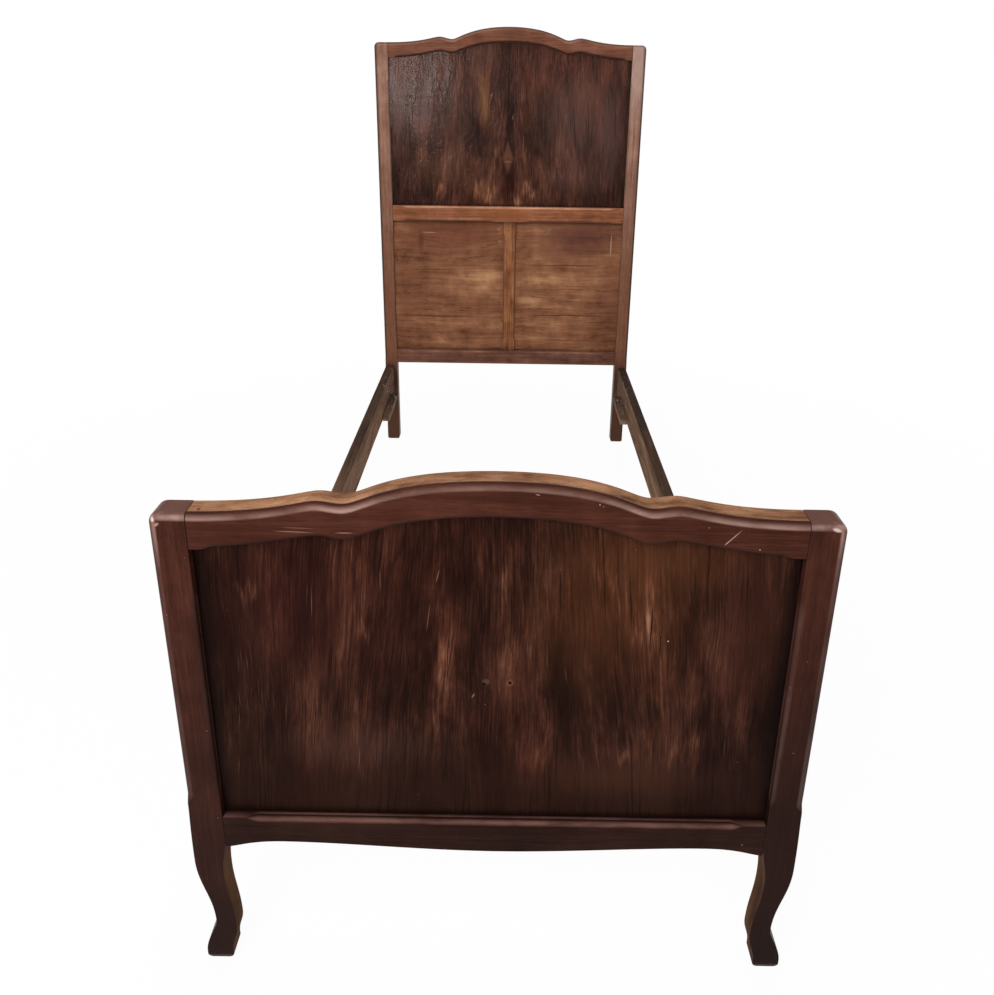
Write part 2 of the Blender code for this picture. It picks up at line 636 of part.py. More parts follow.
def make_hook_plate(word, end, toward, side_frame, side_rail, iron):
    """Iron plate let into the end of a side rail, with hooks that reach through the post plate."""
    face = toward * (HALF_INSIDE - CLEARANCE)
    back = face - toward * HOOK_PLATE_THICKNESS
    half = PLATE_HEIGHT / 2
    name = f"{word}_{end}_hook_plate"
    plate = upright_block(name, 0, PLATE_WIDTH, face, back, -half, half, side_frame, iron)
    recess = upright_block(name + "_recess", 0, PLATE_WIDTH + 2 * CLEARANCE, face + toward * CLEARANCE,
                           back - toward * CLEARANCE, -half - CLEARANCE, half + CLEARANCE, side_frame)
    boolean(side_rail, recess, "DIFFERENCE")
    for number, floor in enumerate(slot_floors(), 1):
        hook = board(f"{name}_hook_{number}", hook_outline(toward), HOOK_WIDTH, side_frame, (0, face, floor),
                     (pi / 2, 0, pi / 2))
        boolean(plate, hook, "UNION")


def make_post_plate(word, side, end, toward, frame, upright, iron):
    """Slotted iron plate let into a post, over the pocket that its hooks drop into."""
    face = POST_DEPTH if end == "foot" else 0.0
    outside = face - toward * HOOK_PLAY
    back = face + toward * POST_PLATE_THICKNESS
    x = side * SIDE_RAIL_X
    low, high = SIDE_RAIL_MIDDLE - PLATE_HEIGHT / 2, SIDE_RAIL_MIDDLE + PLATE_HEIGHT / 2
    floors = [SIDE_RAIL_MIDDLE + floor for floor in slot_floors()]
    name = f"{word}_{end}_post_plate"
    plate = upright_block(name, x, PLATE_WIDTH, face, back, low, high, frame, iron)
    recess = upright_block(name + "_recess", x, PLATE_WIDTH + 2 * CLEARANCE, outside,
                           back + toward * CLEARANCE, low - CLEARANCE, high + CLEARANCE, frame)
    boolean(upright, recess, "DIFFERENCE")
    pocket = upright_block(name + "_pocket", x, SLOT_WIDTH, outside, back + toward * POCKET_DEPTH,
                           floors[0] - HOOK_LIP - HOOK_PLAY, floors[-1] + SLOT_HEIGHT, frame)
    boolean(upright, pocket, "DIFFERENCE")
    for number, floor in enumerate(floors, 1):
        slot = upright_block(f"{name}_slot_{number}", x, SLOT_WIDTH, outside, back + toward * HOOK_PLAY,
                             floor, floor + SLOT_HEIGHT, frame)
        boolean(plate, slot, "DIFFERENCE")


def make_side(word, side, wood):
    """Side rail with the ledges that carry the corners of the sommier, on one lifting frame."""
    side_frame = empty(f"{word}_side", (side * SIDE_RAIL_X, 0, SIDE_RAIL_MIDDLE))
    half = SIDE_RAIL_THICKNESS / 2, HALF_INSIDE - CLEARANCE, SIDE_RAIL_HEIGHT / 2
    side_rail = block(f"{word}_side_rail", [-h for h in half], half, side_frame, wood)
    ease_edges(side_rail, SIDE_RAIL_EDGE)
    near = -side * (half[0] + CLEARANCE)
    x0, x1 = lengthwise(near, near - side * CLEAT_WIDTH)
    for end, toward in ENDS.items():
        outer = toward * (HALF_INSIDE - CLEAT_FROM_POST)
        y0, y1 = lengthwise(outer, outer - toward * CLEAT_LENGTH)
        low, high = (x0, y0, -half[2]), (x1, y1, CLEAT_HEIGHT - half[2])
        cleat = block(f"{word}_{end}_cleat", low, high, side_frame, wood)
        ease_edges(cleat, CLEAT_EDGE)
    return side_frame, side_rail


BED, CUTTERS = start_scene()
foot_wood = material("dark_walnut", (0.072, 0.030, 0.022), 0.38)
foot_veneer = material("figured_dark_veneer", (0.045, 0.020, 0.014), 0.30)
head_wood = material("red_walnut", (0.205, 0.095, 0.058), 0.42)
head_veneer = material("figured_veneer", (0.085, 0.038, 0.026), 0.32)
plain_veneer = material("level_grain_veneer", (0.215, 0.105, 0.052), 0.42)
rail_wood = material("grey_brown_wood", (0.135, 0.100, 0.078), 0.60)
plate_iron = material("forged_iron", (0.060, 0.052, 0.047), 0.55, 0.9)

carriers = {"foot": make_footboard(foot_wood, foot_veneer),
            "head": make_headboard(head_wood, head_veneer, plain_veneer)}
for index, (word, side) in enumerate(SIDES.items()):
    side_frame, side_rail = make_side(word, side, rail_wood)
    for end, toward in ENDS.items():
        frame, posts = carriers[end]
        make_hook_plate(word, end, toward, side_frame, side_rail, plate_iron)
        make_post_plate(word, side, end, toward, frame, posts[index], plate_iron)
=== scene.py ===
from math import cos, pi, radians, sin, sqrt

import bpy
from mathutils import Matrix, Vector
from mathutils.geometry import interpolate_bezier


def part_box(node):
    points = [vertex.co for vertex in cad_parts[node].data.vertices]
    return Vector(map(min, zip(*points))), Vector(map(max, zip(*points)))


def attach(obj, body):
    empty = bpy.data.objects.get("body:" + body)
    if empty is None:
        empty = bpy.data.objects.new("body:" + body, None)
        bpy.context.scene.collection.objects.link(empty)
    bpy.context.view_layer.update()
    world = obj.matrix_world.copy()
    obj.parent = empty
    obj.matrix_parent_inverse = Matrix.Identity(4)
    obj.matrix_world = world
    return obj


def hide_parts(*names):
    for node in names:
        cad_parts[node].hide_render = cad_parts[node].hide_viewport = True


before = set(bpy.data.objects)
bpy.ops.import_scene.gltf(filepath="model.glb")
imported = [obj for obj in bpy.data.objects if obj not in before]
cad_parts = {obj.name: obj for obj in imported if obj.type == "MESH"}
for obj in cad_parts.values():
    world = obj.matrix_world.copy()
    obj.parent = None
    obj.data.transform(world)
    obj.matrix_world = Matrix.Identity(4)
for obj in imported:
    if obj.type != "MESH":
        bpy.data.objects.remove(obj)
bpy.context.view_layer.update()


# Footboard posts. Each is one walnut timber, left square beside the panel and sawn below the rail into a
# cabriole leg. Its outer arris is rounded over, its inner arris carries a stuck moulding that stops short
# of the joints, and a groove takes the panel. The polish is rubbed pale on every rounded edge, which also
# takes a painted highlight on its crown and painted shade on its far side.
HALF_WIDTH = 0.428  # of the bed, over the posts
FOOT_FRONT = -1.029
POST_DEPTH = 0.038
FOOT_POST_WIDTH = 0.046
FOOT_POST_HEIGHT = 0.751
CORNER_RADIUS = 0.014  # outer top corner of a post, seen from the front
EASE = 0.001  # arrises softened by wear
ROUND_FACE, ROUND_SIDE = 0.0105, 0.007  # round-over, on the face and on the side or top
ROUND_STOP_HEIGHT = 0.296
MOULDING_FACE, MOULDING_DEPTH = 0.008, 0.0072
MOULDING_STOP, MOULDING_POST_STOP = 0.032, 0.058  # plain length beyond a moulding, and under a top rail
STOP_RUN = 0.018  # length over which a moulding dies out
PANEL_SETBACK, PANEL_THICKNESS = 0.013, 0.008
GROOVE_DEPTH, GROOVE_DIRT = 0.008, 0.0015
NO_GROOVE, GROOVE_END = 0.00001, 0.00025  # depth where there is none, and length over which a groove ends
TOE_ROUND = 0.006
RAW_HEIGHT = 0.236  # the inner sides of the foot posts are unpolished below it
TOE_HEIGHT, ANKLE_HEIGHT, KNEE_HEIGHT = 0.012, 0.074, 0.195
FOOT_SOFFIT, FOOT_RAIL_TOP = 0.702, 0.274  # edges of the rails that hold the panel
SIDES = {"left": -1, "right": 1}


def smooth(share):
    share = min(max(share, 0.0), 1.0)
    return share * share * (3 - 2 * share)


def stopped(place, start, end):
    """Share of its full size that a moulding has at a place, dying out towards both ends."""
    return smooth((place - start) / STOP_RUN) * smooth((end - place) / STOP_RUN)


def spread(low, high, step):
    count = max(int(round((high - low) / step)), 1)
    return [low + (high - low) * i / count for i in range(count + 1)]


def in_order(places, least=0.0002):
    kept = []
    for place in sorted(places):
        if not kept or place - kept[-1] > least:
            kept.append(place)
    kept[-1] = max(places)
    return kept


def flowing(knots, base=0.0, steps=48):
    """Contour of a sawn edge: spans with level ends through (place, offset, back, on) knots."""
    line = []
    for (x0, z0, _, on), (x1, z1, back, _) in zip(knots, knots[1:]):
        span = x1 - x0
        handles = ((x0 + on * span, 0, z0), (x1 - back * span, 0, z1))
        line += interpolate_bezier((x0, 0, z0), *handles, (x1, 0, z1), steps)

    def offset(place):
        place = abs(place)
        for a, b in zip(line, line[1:]):
            if a.x <= place < b.x:
                return base + a.z + (b.z - a.z) * (place - a.x) / (b.x - a.x)
        return base + (line[0].z if place < line[0].x else line[-1].z)

    return offset


def fall(height, top, rise, run):
    """How far a quarter ellipse, rising to a top edge, has drawn back at a height."""
    share = min(max((height - top + rise) / rise, 0.0), 1.0)
    return run * (1 - sqrt(1 - share * share))


# An edge is planed as points of (inset along the side before it, inset along the side after it, wear and
# highlight, grime and shade, bare wood), so that the finish knows the crowns that hands rub and that take a
# painted highlight, and the quirks that dirt fills and the places where it paints shade.
def eased_edge(bare_before=0.0, bare_after=0.0):
    flat, worn = EASE + 0.005, EASE * 0.3
    return [(flat, 0, 0, 0, bare_before), (EASE, 0, 0.45, 0, bare_before), (worn, worn, 0.6, 0, 0),
            (0, EASE, 0.45, 0, bare_after), (0, flat, 0, 0, bare_after)]


def rounded_edge(share=1.0, bare=0.0, rub_and_highlight_share=1.0, shade=0.36, steps=14):
    """Round-over from a top or an outer side to the face, its crown rubbed and lit by a painted highlight,
    and darkened by painted shade on its far side as far round as the shade reaches.
    """
    side = EASE + (ROUND_SIDE - EASE) * share
    face = EASE + (ROUND_FACE - EASE) * share
    # The dark line where the top meets the round-over is painted shade.
    points = [(side + 0.0050, 0, 0, 0.2 * (1 - bare), bare), (side + 0.0014, 0, 0, 0.3, bare),
              (side + 0.0009, 0, 0, 0.5, 0)]
    for i in range(steps + 1):
        turn = i / steps * pi / 2
        crown = smooth((i / steps - 0.20) / 0.62) ** 1.6 * smooth((1 - i / steps) / 0.16)
        dark = smooth(1.6 - 1.6 * i / steps / shade) * min(0.3 + 0.8 * shade, 1.0)
        points.append((side - side * sin(turn), face - face * cos(turn), crown * share * rub_and_highlight_share, dark, 0))
    return points + [(0, face + 0.0060, 0, 0, 0)]


def moulded_edge(share=1.0, rub_and_highlight_share=1.0, shade=0.0, ledge=0.0, steps=10):
    """Stuck moulding from the face to the panel: an ovolo, a quirk and a narrow fillet, its ovolo rubbed and
    lit by a painted highlight and darkened by painted shade so far as asked, with the plain ledge beyond its
    stopped ends given painted light."""
    points = [(MOULDING_FACE + 0.0060, 0, 0, 0, 0)]
    for i in range(steps + 1):
        turn = i / steps * pi / 2
        points.append((MOULDING_FACE - (MOULDING_FACE - 0.0009) * sin(turn), MOULDING_DEPTH * (1 - cos(turn)),
                       sin(2 * turn) ** 1.5, shade * min(i / 4, 1.0), 0))
    points += [(0.0026, 0.0078, 0, 1, 0), (0.0024, 0.0084, 0, 1, 0), (0.0003, 0.0087, 0.5, 0.2, 0),
               (0, 0.0091, 0.8, 0, 0), (0, 0.0110, 0.5, 0, 0), (0, 0.0124, 0, 0.7, 0)]
    size = 0.1 + 0.9 * share
    points = [(p * size, q * size, rub_and_highlight_share * (0.3 + (wear_and_highlight - 0.3) * share) if wear_and_highlight else 0, grime_and_shade * share, bare)
              for p, q, wear_and_highlight, grime_and_shade, bare in points]
    points[-1] = (*points[-1][:2], ledge * (1 - share), *points[-1][3:])
    return points


def outline(a0, a1, b0, b1, edges, grooves=()):
    """Section of a timber from (a0, b0) to (a1, b1), with its four edges in turn from (a0, b0) by way of
    (a1, b0). Each groove is (side, distance to its near wall, distance to its far wall, depth)."""
    corners = ((a0, b0), (a1, b0), (a1, b1), (a0, b1))
    ways = ((1, 0), (0, 1), (-1, 0), (0, -1))
    lengths = (a1 - a0, b1 - b0, a1 - a0, b1 - b0)
    points = []
    for side, (edge, (a, b), onward) in enumerate(zip(edges, corners, ways)):
        back, inward = ways[side - 1], ways[(side + 1) % 4]
        for p, q, *marks in edge:
            points.append((a - back[0] * p + onward[0] * q, b - back[1] * p + onward[1] * q, *marks))
        for _, near, far, depth in (groove for groove in grooves if groove[0] == side):
            before = max(edge[-1][1] + 0.0001, near - GROOVE_DIRT)
            after = min(lengths[side] - edges[(side + 1) % 4][0][0] - 0.0001, far + GROOVE_DIRT)
            for run, sunk, grime_and_shade in ((before, 0, 0), (near, 0, 0.8), (near, depth, 0.8), (far, depth, 0.8),
                                     (far, 0, 0.8), (after, 0, 0)):
                points.append((a + onward[0] * run + inward[0] * sunk, b + onward[1] * run + inward[1] * sunk,
                               0, grime_and_shade, 0))
    return points


def signed_volume(mesh):
    mesh.calc_loop_triangles()
    corners = [vertex.co for vertex in mesh.vertices]
    return sum(corners[a].dot(corners[b].cross(corners[c]))
               for a, b, c in (triangle.vertices for triangle in mesh.loop_triangles))


def put(name, data):
    made = bpy.data.objects.new(name, data)
    bpy.context.scene.collection.objects.link(made)
    return made


def timber(name, rings, finish, slot, body, *nodes):
    """Timber through rings of (x, y, z, wear and highlight, grime and shade, bare wood) points, standing for
    its solids.
    """
    size = len(rings[0])
    points = [point for ring in rings for point in ring]
    faces = []
    for low in range(0, size * (len(rings) - 1), size):
        for i in range(size):
            after = (i + 1) % size
            faces.append((low + i, low + after, low + size + after, low + size + i))
    faces += [tuple(reversed(range(size))), tuple(range(len(points) - size, len(points)))]
    mesh = bpy.data.meshes.new(name)
    mesh.from_pydata([point[:3] for point in points], [], faces)
    for column, label in enumerate(("wear_and_highlight", "grime_and_shade", "bare"), 3):
        layer = mesh.attributes.new(label, "FLOAT", "POINT")
        layer.data.foreach_set("value", [point[column] for point in points])
    mesh.validate()
    if signed_volume(mesh) < 0:
        mesh.flip_normals()
    mesh.shade_smooth()
    mesh.set_sharp_from_angle(angle=radians(34))
    mesh.materials.append(finish)
    made = put(name, mesh)
    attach(made, body)
    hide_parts(*nodes)


def tint(red, green, blue):
    """A colour of 0 to 255 as seen, in the linear measure that the finishes are mixed in."""
    parts = [part / 255 for part in (red, green, blue)]
    return tuple(c / 12.92 if c <= 0.04045 else ((c + 0.055) / 1.055) ** 2.4 for c in parts) + (1.0,)


def add_node(tree, kind, inputs=None, **settings):
    """Adds a node to a tree, with its inputs set to values or joined to sockets and patterns."""
    made = tree.nodes.new(kind)
    for key, value in settings.items():
        setattr(made, key, value)
    for key, value in (inputs or {}).items():
        value = value.socket if isinstance(value, Pattern) else value
        if isinstance(value, bpy.types.NodeSocket):
            tree.links.new(value, made.inputs[key])
        else:
            made.inputs[key].default_value = value
    return made


class Pattern:
    """A number, place or colour that varies over a surface. Sums and products of patterns are patterns."""

    def __init__(self, finish, socket):
        self.finish, self.socket = finish, socket

    def math(self, operation, other=0.0):
        return self.finish.add("Math", {0: self, 1: other}, operation=operation)

    def __add__(self, other):
        return self.math("ADD", other)

    def __sub__(self, other):
        return self.math("SUBTRACT", other)

    def __rsub__(self, other):
        return self.finish.add("Math", {0: other, 1: self}, operation="SUBTRACT")

    def __mul__(self, other):
        return self.math("MULTIPLY", other)

    def __abs__(self):
        return self.math("ABSOLUTE")

    def axis(self, letter):
        return self.finish.add("SeparateXYZ", {"Vector": self}, letter)

    def band(self, low, high, to_low=0.0, to_high=1.0):
        """Smooth step from one value to another between two levels of the pattern."""
        ends = {"From Min": low, "From Max": high, "To Min": to_low, "To Max": to_high}
        return self.finish.add("MapRange", {"Value": self, **ends}, interpolation_type="SMOOTHSTEP")

    def tones(self, levels, shades):
        """Colour that runs through the shades as the pattern rises through the levels."""
        made = add_node(self.finish.tree, "ShaderNodeValToRGB", {"Fac": self})
        elements = made.color_ramp.elements
        while len(elements) < len(shades):
            elements.new(0.5)
        for element, level, shade in zip(elements, levels, shades):
            element.position = level
            element.color = tint(*shade)
        return Pattern(self.finish, made.outputs["Color"])

    def covered(self, share, over, blend="MIX"):
        """This colour with another laid over it to a share."""
        return self.finish.add("Mix", {0: share, 6: self, 7: over}, 2, data_type="RGBA", blend_type=blend)

    def stained(self, share, shade):
        return self.covered(share, tint(*shade))


class Finish:
    """A procedural finish: one material, with the patterns that are drawn on its object."""

    def __init__(self, name):
        self.material = bpy.data.materials.new(name)
        self.material.use_nodes = True
        self.tree = self.material.node_tree
        self.shader = self.tree.nodes["Principled BSDF"]
        self.place = self.add("TexCoord", output="Object")

    def add(self, kind, inputs=None, output=0, **settings):
        return Pattern(self, add_node(self.tree, "ShaderNode" + kind, inputs, **settings).outputs[output])

    def noise(self, stretch, detail=2.0, rough=0.5, twist=0.0, shift=(0, 0, 0), place=None):
        """Cloudy pattern with so many features per metre along each axis."""
        laid = self.add("Mapping", {"Vector": place or self.place, "Scale": stretch, "Location": shift})
        return self.add("TexNoise", {"Vector": laid, "Scale": 1.0, "Detail": detail, "Roughness": rough,
                                     "Distortion": twist}, "Fac")

    def mark(self, name):
        return self.add("Attribute", output="Fac", attribute_name=name)

    def wander(self, axis, stretch, reach, place=None):
        """The place swayed along an axis by a slow wave, so that a figure drawn on it runs wavy."""
        wave = self.noise(stretch, place=place) - 0.5
        sway = self.add("CombineXYZ", {axis: wave * reach})
        return self.add("VectorMath", {0: place or self.place, 1: sway}, "Vector", operation="ADD")

    def spot(self, place, size, turn=0.0, core=0.3, deep=(0.0, 1000.0), pointed=False, swayed=None):
        """Share of a soft oval or lozenge on an upright face: its middle, half width and height, lean,
        and the middle and half of its depth where it doesn't go right through."""
        laid = self.add("Mapping", {"Vector": swayed or self.place, "Location": (place[0], deep[0], place[1]),
                                    "Rotation": (0, turn, 0), "Scale": (size[0], deep[1], size[1])},
                        vector_type="TEXTURE")
        if pointed:
            apart = self.add("VectorMath", {0: laid}, "Vector", operation="ABSOLUTE")
            far = self.add("VectorMath", {0: apart, 1: (1, 1, 1)}, "Value", operation="DOT_PRODUCT")
        else:
            far = self.add("VectorMath", {0: laid}, "Value", operation="LENGTH")
        return far.band(1.0, core)

    def flecks(self, per_metre, rim, core, least, channel="X"):
        """Share of small round flecks, one in each cell whose lot in a channel is over the least."""
        cells = add_node(self.tree, "ShaderNodeTexVoronoi", {"Vector": self.place, "Scale": per_metre})
        lot = Pattern(self, cells.outputs["Color"]).axis(channel)
        return Pattern(self, cells.outputs["Distance"]).band(rim, core) * lot.math("GREATER_THAN", least)

    def feed(self, **patterns):
        for name, pattern in patterns.items():
            self.tree.links.new(pattern.socket, self.shader.inputs[name.replace("_", " ")])

    def lay(self, colour, roughness, height, specular, warmth=(1.0, 1.0, 1.0), lift=0.0004):
        """The finished surface: colour, roughness, a gloss with its warmth and a relief of so many metres."""
        self.shader.inputs["Specular IOR Level"].default_value = specular
        self.shader.inputs["Specular Tint"].default_value = (*warmth, 1.0)
        relief = self.add("Bump", {"Height": height, "Strength": 1.0, "Distance": lift}, "Normal")
        self.feed(Base_Color=colour, Roughness=roughness, Normal=relief)
        return self.material


def along_grain(axis, across, along):
    """Features per metre across and along the grain of a timber that runs in an axis."""
    return tuple(along if letter == axis else across for letter in "XYZ")


def polished_walnut(name, axis, shades, crown, bare=((60, 40, 28), (100, 70, 50)), painted_light_by_height=(), gloss=0.40,
                    specular=0.05, scars=()):
    """Stained and polished solid walnut: streaks and pores along the grain, dirt and painted shade in the
    quirks and on the far sides of edges, pale crowns where the polish is rubbed through and a painted
    highlight lies, painted light and shade in bands of height, small bruises, and unpolished wood where the
    timber is bare."""
    finish = Finish(name)
    sideways = "X" if axis == "Z" else "Z"
    wavy = finish.wander(sideways, along_grain(axis, 9, 3), 0.012)
    clouds = finish.noise((14, 14, 14), detail=4, rough=0.6)
    streaks = finish.noise(along_grain(axis, 150, 4.5), detail=5, rough=0.66, place=wavy)
    fibres = finish.noise(along_grain(axis, 700, 24), rough=0.6, place=wavy)
    figure = clouds * 0.40 + streaks * 0.40 + fibres * 0.20
    colour = figure.tones((0.38, 0.47, 0.54, 0.64), shades)
    # Painted light and shade by height: darker towards the floor, and paler or warmer in some bands.
    for low, high, share, shade in painted_light_by_height:
        colour = colour.stained(finish.place.axis("Z").band(low, high, share, 0.0), shade)
    pores = finish.noise(along_grain(axis, 1150, 42), detail=1, place=wavy).band(0.60, 0.70)
    colour = colour.stained(pores * 0.40, (24, 13, 10))
    smears = finish.noise(along_grain(axis, 34, 12), detail=4, rough=0.62)
    dirt_and_shade = finish.mark("grime_and_shade") * smears.band(0.10, 0.50, 0.5, 1.0)
    colour = colour.stained(dirt_and_shade * 0.85, (20, 11, 9))
    rub_and_highlight = finish.mark("wear_and_highlight") * smears.band(0.30, 0.66, 0.35, 1.0)
    colour = colour.stained(rub_and_highlight * 0.60, crown)
    raw = (figure * 0.55 + smears * 0.45).tones((0.40, 0.60), bare)
    raw = raw.stained(pores * 0.45, (56, 36, 25))
    raw = raw.stained(finish.flecks(130, 0.22, 0.08, 0.80, "Y") * 0.7, (60, 38, 27))
    open_wood = finish.mark("bare").band(0.35, 0.65)
    colour = colour.covered(open_wood, raw)
    bruise = finish.flecks(62, 0.07, 0.04, 0.88)
    colour = colour.stained(bruise * 0.55, (160, 118, 98))
    for place, size, turn, shade, *deep in scars:
        strength = 0.8 if min(size) < 0.02 else 0.45
        colour = colour.stained(finish.spot(place, size, turn, 0.3, *deep) * strength, shade)
    roughness = open_wood * 0.50 + fibres * 0.14 - rub_and_highlight * 0.06 + smears * 0.16 + (gloss - 0.15)
    height = fibres * 0.25 - pores * 0.35 - bruise * 0.8 + clouds * 0.6
    return finish.lay(colour, roughness, height, specular, POLISH_WARMTH)


POLISH_WARMTH = (1.0, 0.62, 0.50)
# FOOT_CROWN is the colour of rubbed crowns, partly wear and partly a painted highlight.
FOOT_CROWN = (196, 158, 146)
PAINTED_SHADE_BROWN, POST_TOP = (24, 12, 10), (94, 66, 60)
UPRIGHT_SHADES = (48, 24, 18), (58, 30, 23), (66, 35, 27), (78, 43, 33)
# The posts are painted darker towards the floor with shade, the right one more. The pale spots at their outer
# top corners are partly wear and partly a painted highlight.
foot_upright = {
    "left": polished_walnut("dark_walnut_left", "Z", UPRIGHT_SHADES, FOOT_CROWN,
                            painted_light_by_height=((0.22, 0.66, 0.50, PAINTED_SHADE_BROWN), (0.04, 0.20, 0.70, PAINTED_SHADE_BROWN)),
                            scars=(((-0.405, 0.7512), (0.060, 0.0040), 0, POST_TOP),
                                   ((-0.4215, 0.7425), (0.0032, 0.0045), 0, (226, 200, 190)),
                                   ((-0.4170, 0.7362), (0.0050, 0.0028), -0.7, (178, 134, 122)))),
    "right": polished_walnut("dark_walnut_right", "Z", UPRIGHT_SHADES, FOOT_CROWN,
                             painted_light_by_height=((0.30, 0.66, 0.75, PAINTED_SHADE_BROWN), (0.03, 0.16, 0.75, PAINTED_SHADE_BROWN)),
                             scars=(((0.405, 0.7512), (0.060, 0.0040), 0, POST_TOP),
                                    ((0.4130, 0.7428), (0.0075, 0.0032), 0.3, (224, 196, 186))))}
leg_outer = flowing(((TOE_HEIGHT, -0.002, 0, 0.40), (ANKLE_HEIGHT, 0.0175, 0.22, 0.42),
                     (KNEE_HEIGHT, -0.002, 0.42, 0.6), (ROUND_STOP_HEIGHT, 0, 0.2, 0)))
leg_inner = flowing(((TOE_HEIGHT, 0.037, 0, 0.35), (0.064, 0.0475, 0.40, 0.42), (0.165, 0.0375, 0.42, 0.42),
                     (0.240, FOOT_POST_WIDTH, 0.42, 0)))
leg_back = flowing(((TOE_HEIGHT, 0.036, 0, 0.42), (ANKLE_HEIGHT, 0.030, 0.42, 0.42),
                    (KNEE_HEIGHT, POST_DEPTH, 0.42, 0)))


def rounded_toe(z):
    return TOE_ROUND - sqrt(TOE_ROUND ** 2 - (TOE_ROUND - min(z, TOE_ROUND)) ** 2)


def cabriole_leg(z):
    return leg_outer(z), leg_inner(z), leg_back(z), rounded_toe(z)


def post_rings(side, front, height, leg, mouldings, grooves, levels, rub_and_highlight_share, shade=0.36, raw_below=0.0):
    """Rings of a post from the floor up, by its leg's offsets, with its mouldings and panel grooves. The rub
    and highlight say how far its round-over is rubbed and lit by a painted highlight at the top and below it,
    how its mouldings are rubbed and lit, and how far painted shade darkens them. A shade over 0.36 also
    paints shade along the top edge. The inner side is unpolished below a height."""
    top_rub_and_highlight, lower_rub_and_highlight, moulding_rub_and_highlight, moulding_shade = rub_and_highlight_share
    for radius in (CORNER_RADIUS, ROUND_FACE):
        levels = levels + [height - radius * (1 - sin(i / 12 * pi / 2)) for i in range(13)]
    levels += spread(ROUND_STOP_HEIGHT, ROUND_STOP_HEIGHT + STOP_RUN, 0.002)
    for start, end in mouldings:
        levels += spread(start, start + STOP_RUN, 0.0015) + spread(end - STOP_RUN, end, 0.0015)
    for start, end in grooves:
        levels += [start, start + GROOVE_END, end - GROOVE_END, end]
    rings = []
    for z in in_order(levels):
        outer, inner, depth, foot = leg(z)
        softened = min(foot, EASE)
        a0 = outer + fall(z, height, CORNER_RADIUS, CORNER_RADIUS) + foot
        b0 = fall(z, height, ROUND_FACE, ROUND_SIDE) + softened
        moulded = max(stopped(z, start, end) for start, end in mouldings)
        sunk = GROOVE_DEPTH if any(start < z < end for start, end in grooves) else NO_GROOVE
        held = lower_rub_and_highlight + (top_rub_and_highlight - lower_rub_and_highlight) * smooth((z - height + 0.075) / 0.055)
        edges = (rounded_edge(smooth((z - ROUND_STOP_HEIGHT) / STOP_RUN), rub_and_highlight_share=held, shade=shade),
                 moulded_edge(moulded, moulding_rub_and_highlight, moulding_shade), eased_edge(), eased_edge())
        rim = outline(a0, inner - foot, b0, depth - softened, edges,
                      ((1, PANEL_SETBACK - b0, PANEL_SETBACK + PANEL_THICKNESS - b0, sunk),))
        # The top round and the outer top corner take a painted highlight as well as wear, brightest where
        # they meet.
        face_crown, side_crown = (top_rub_and_highlight * sin(pi * min(max((z - height + radius) / radius, 0), 1))
                                  for radius in (ROUND_FACE, CORNER_RADIUS))
        scuffed = 0.2 * smooth((0.007 - z) / 0.005)
        shadowed = (shade - 0.36) * smooth((z - height + 0.008) / 0.005)
        ring = []
        for a, b, wear_and_highlight, grime_and_shade, _ in rim:
            on_face = face_crown if b - b0 < 0.003 else 0
            on_side = side_crown if a - a0 < 0.003 else 0
            wear_and_highlight = max(wear_and_highlight, on_face, on_side, scuffed) + 0.7 * on_face * on_side
            inside = inner - foot - a < 0.0006 and b - b0 > 0.0008
            bare = 1.0 if z >= height else smooth((raw_below - z) / 0.012) if inside else 0.0
            ring.append((side * (HALF_WIDTH - a), front + b, z, wear_and_highlight, max(grime_and_shade, shadowed), bare))
        rings.append(ring)
    return rings


# How far each post's round-over and mouldings are rubbed and lit by a painted highlight, and how far painted
# shade darkens its mouldings.
FOOT_RUB_AND_HIGHLIGHT = {"left": (0.9, 0.10, 0.06, 0.4), "right": (0.9, 0.18, 0.16, 0.2)}
foot_mouldings = ((FOOT_RAIL_TOP + MOULDING_STOP, FOOT_SOFFIT - MOULDING_POST_STOP),)
foot_grooves = ((FOOT_RAIL_TOP - GROOVE_DEPTH, FOOT_SOFFIT + GROOVE_DEPTH),)
toe_levels = spread(0, TOE_ROUND, 0.0008)
for word, side in SIDES.items():
    rings = post_rings(side, FOOT_FRONT, FOOT_POST_HEIGHT, cabriole_leg, foot_mouldings, foot_grooves,
                       toe_levels + spread(TOE_ROUND, 0.31, 0.004) + spread(0.31, 0.73, 0.03),
                       FOOT_RUB_AND_HIGHLIGHT[word], raw_below=RAW_HEIGHT)
    timber(f"foot_{word}_post", rings, foot_upright[word], "dark_walnut", "bed_ends",
           f"footboard_{word}_post")


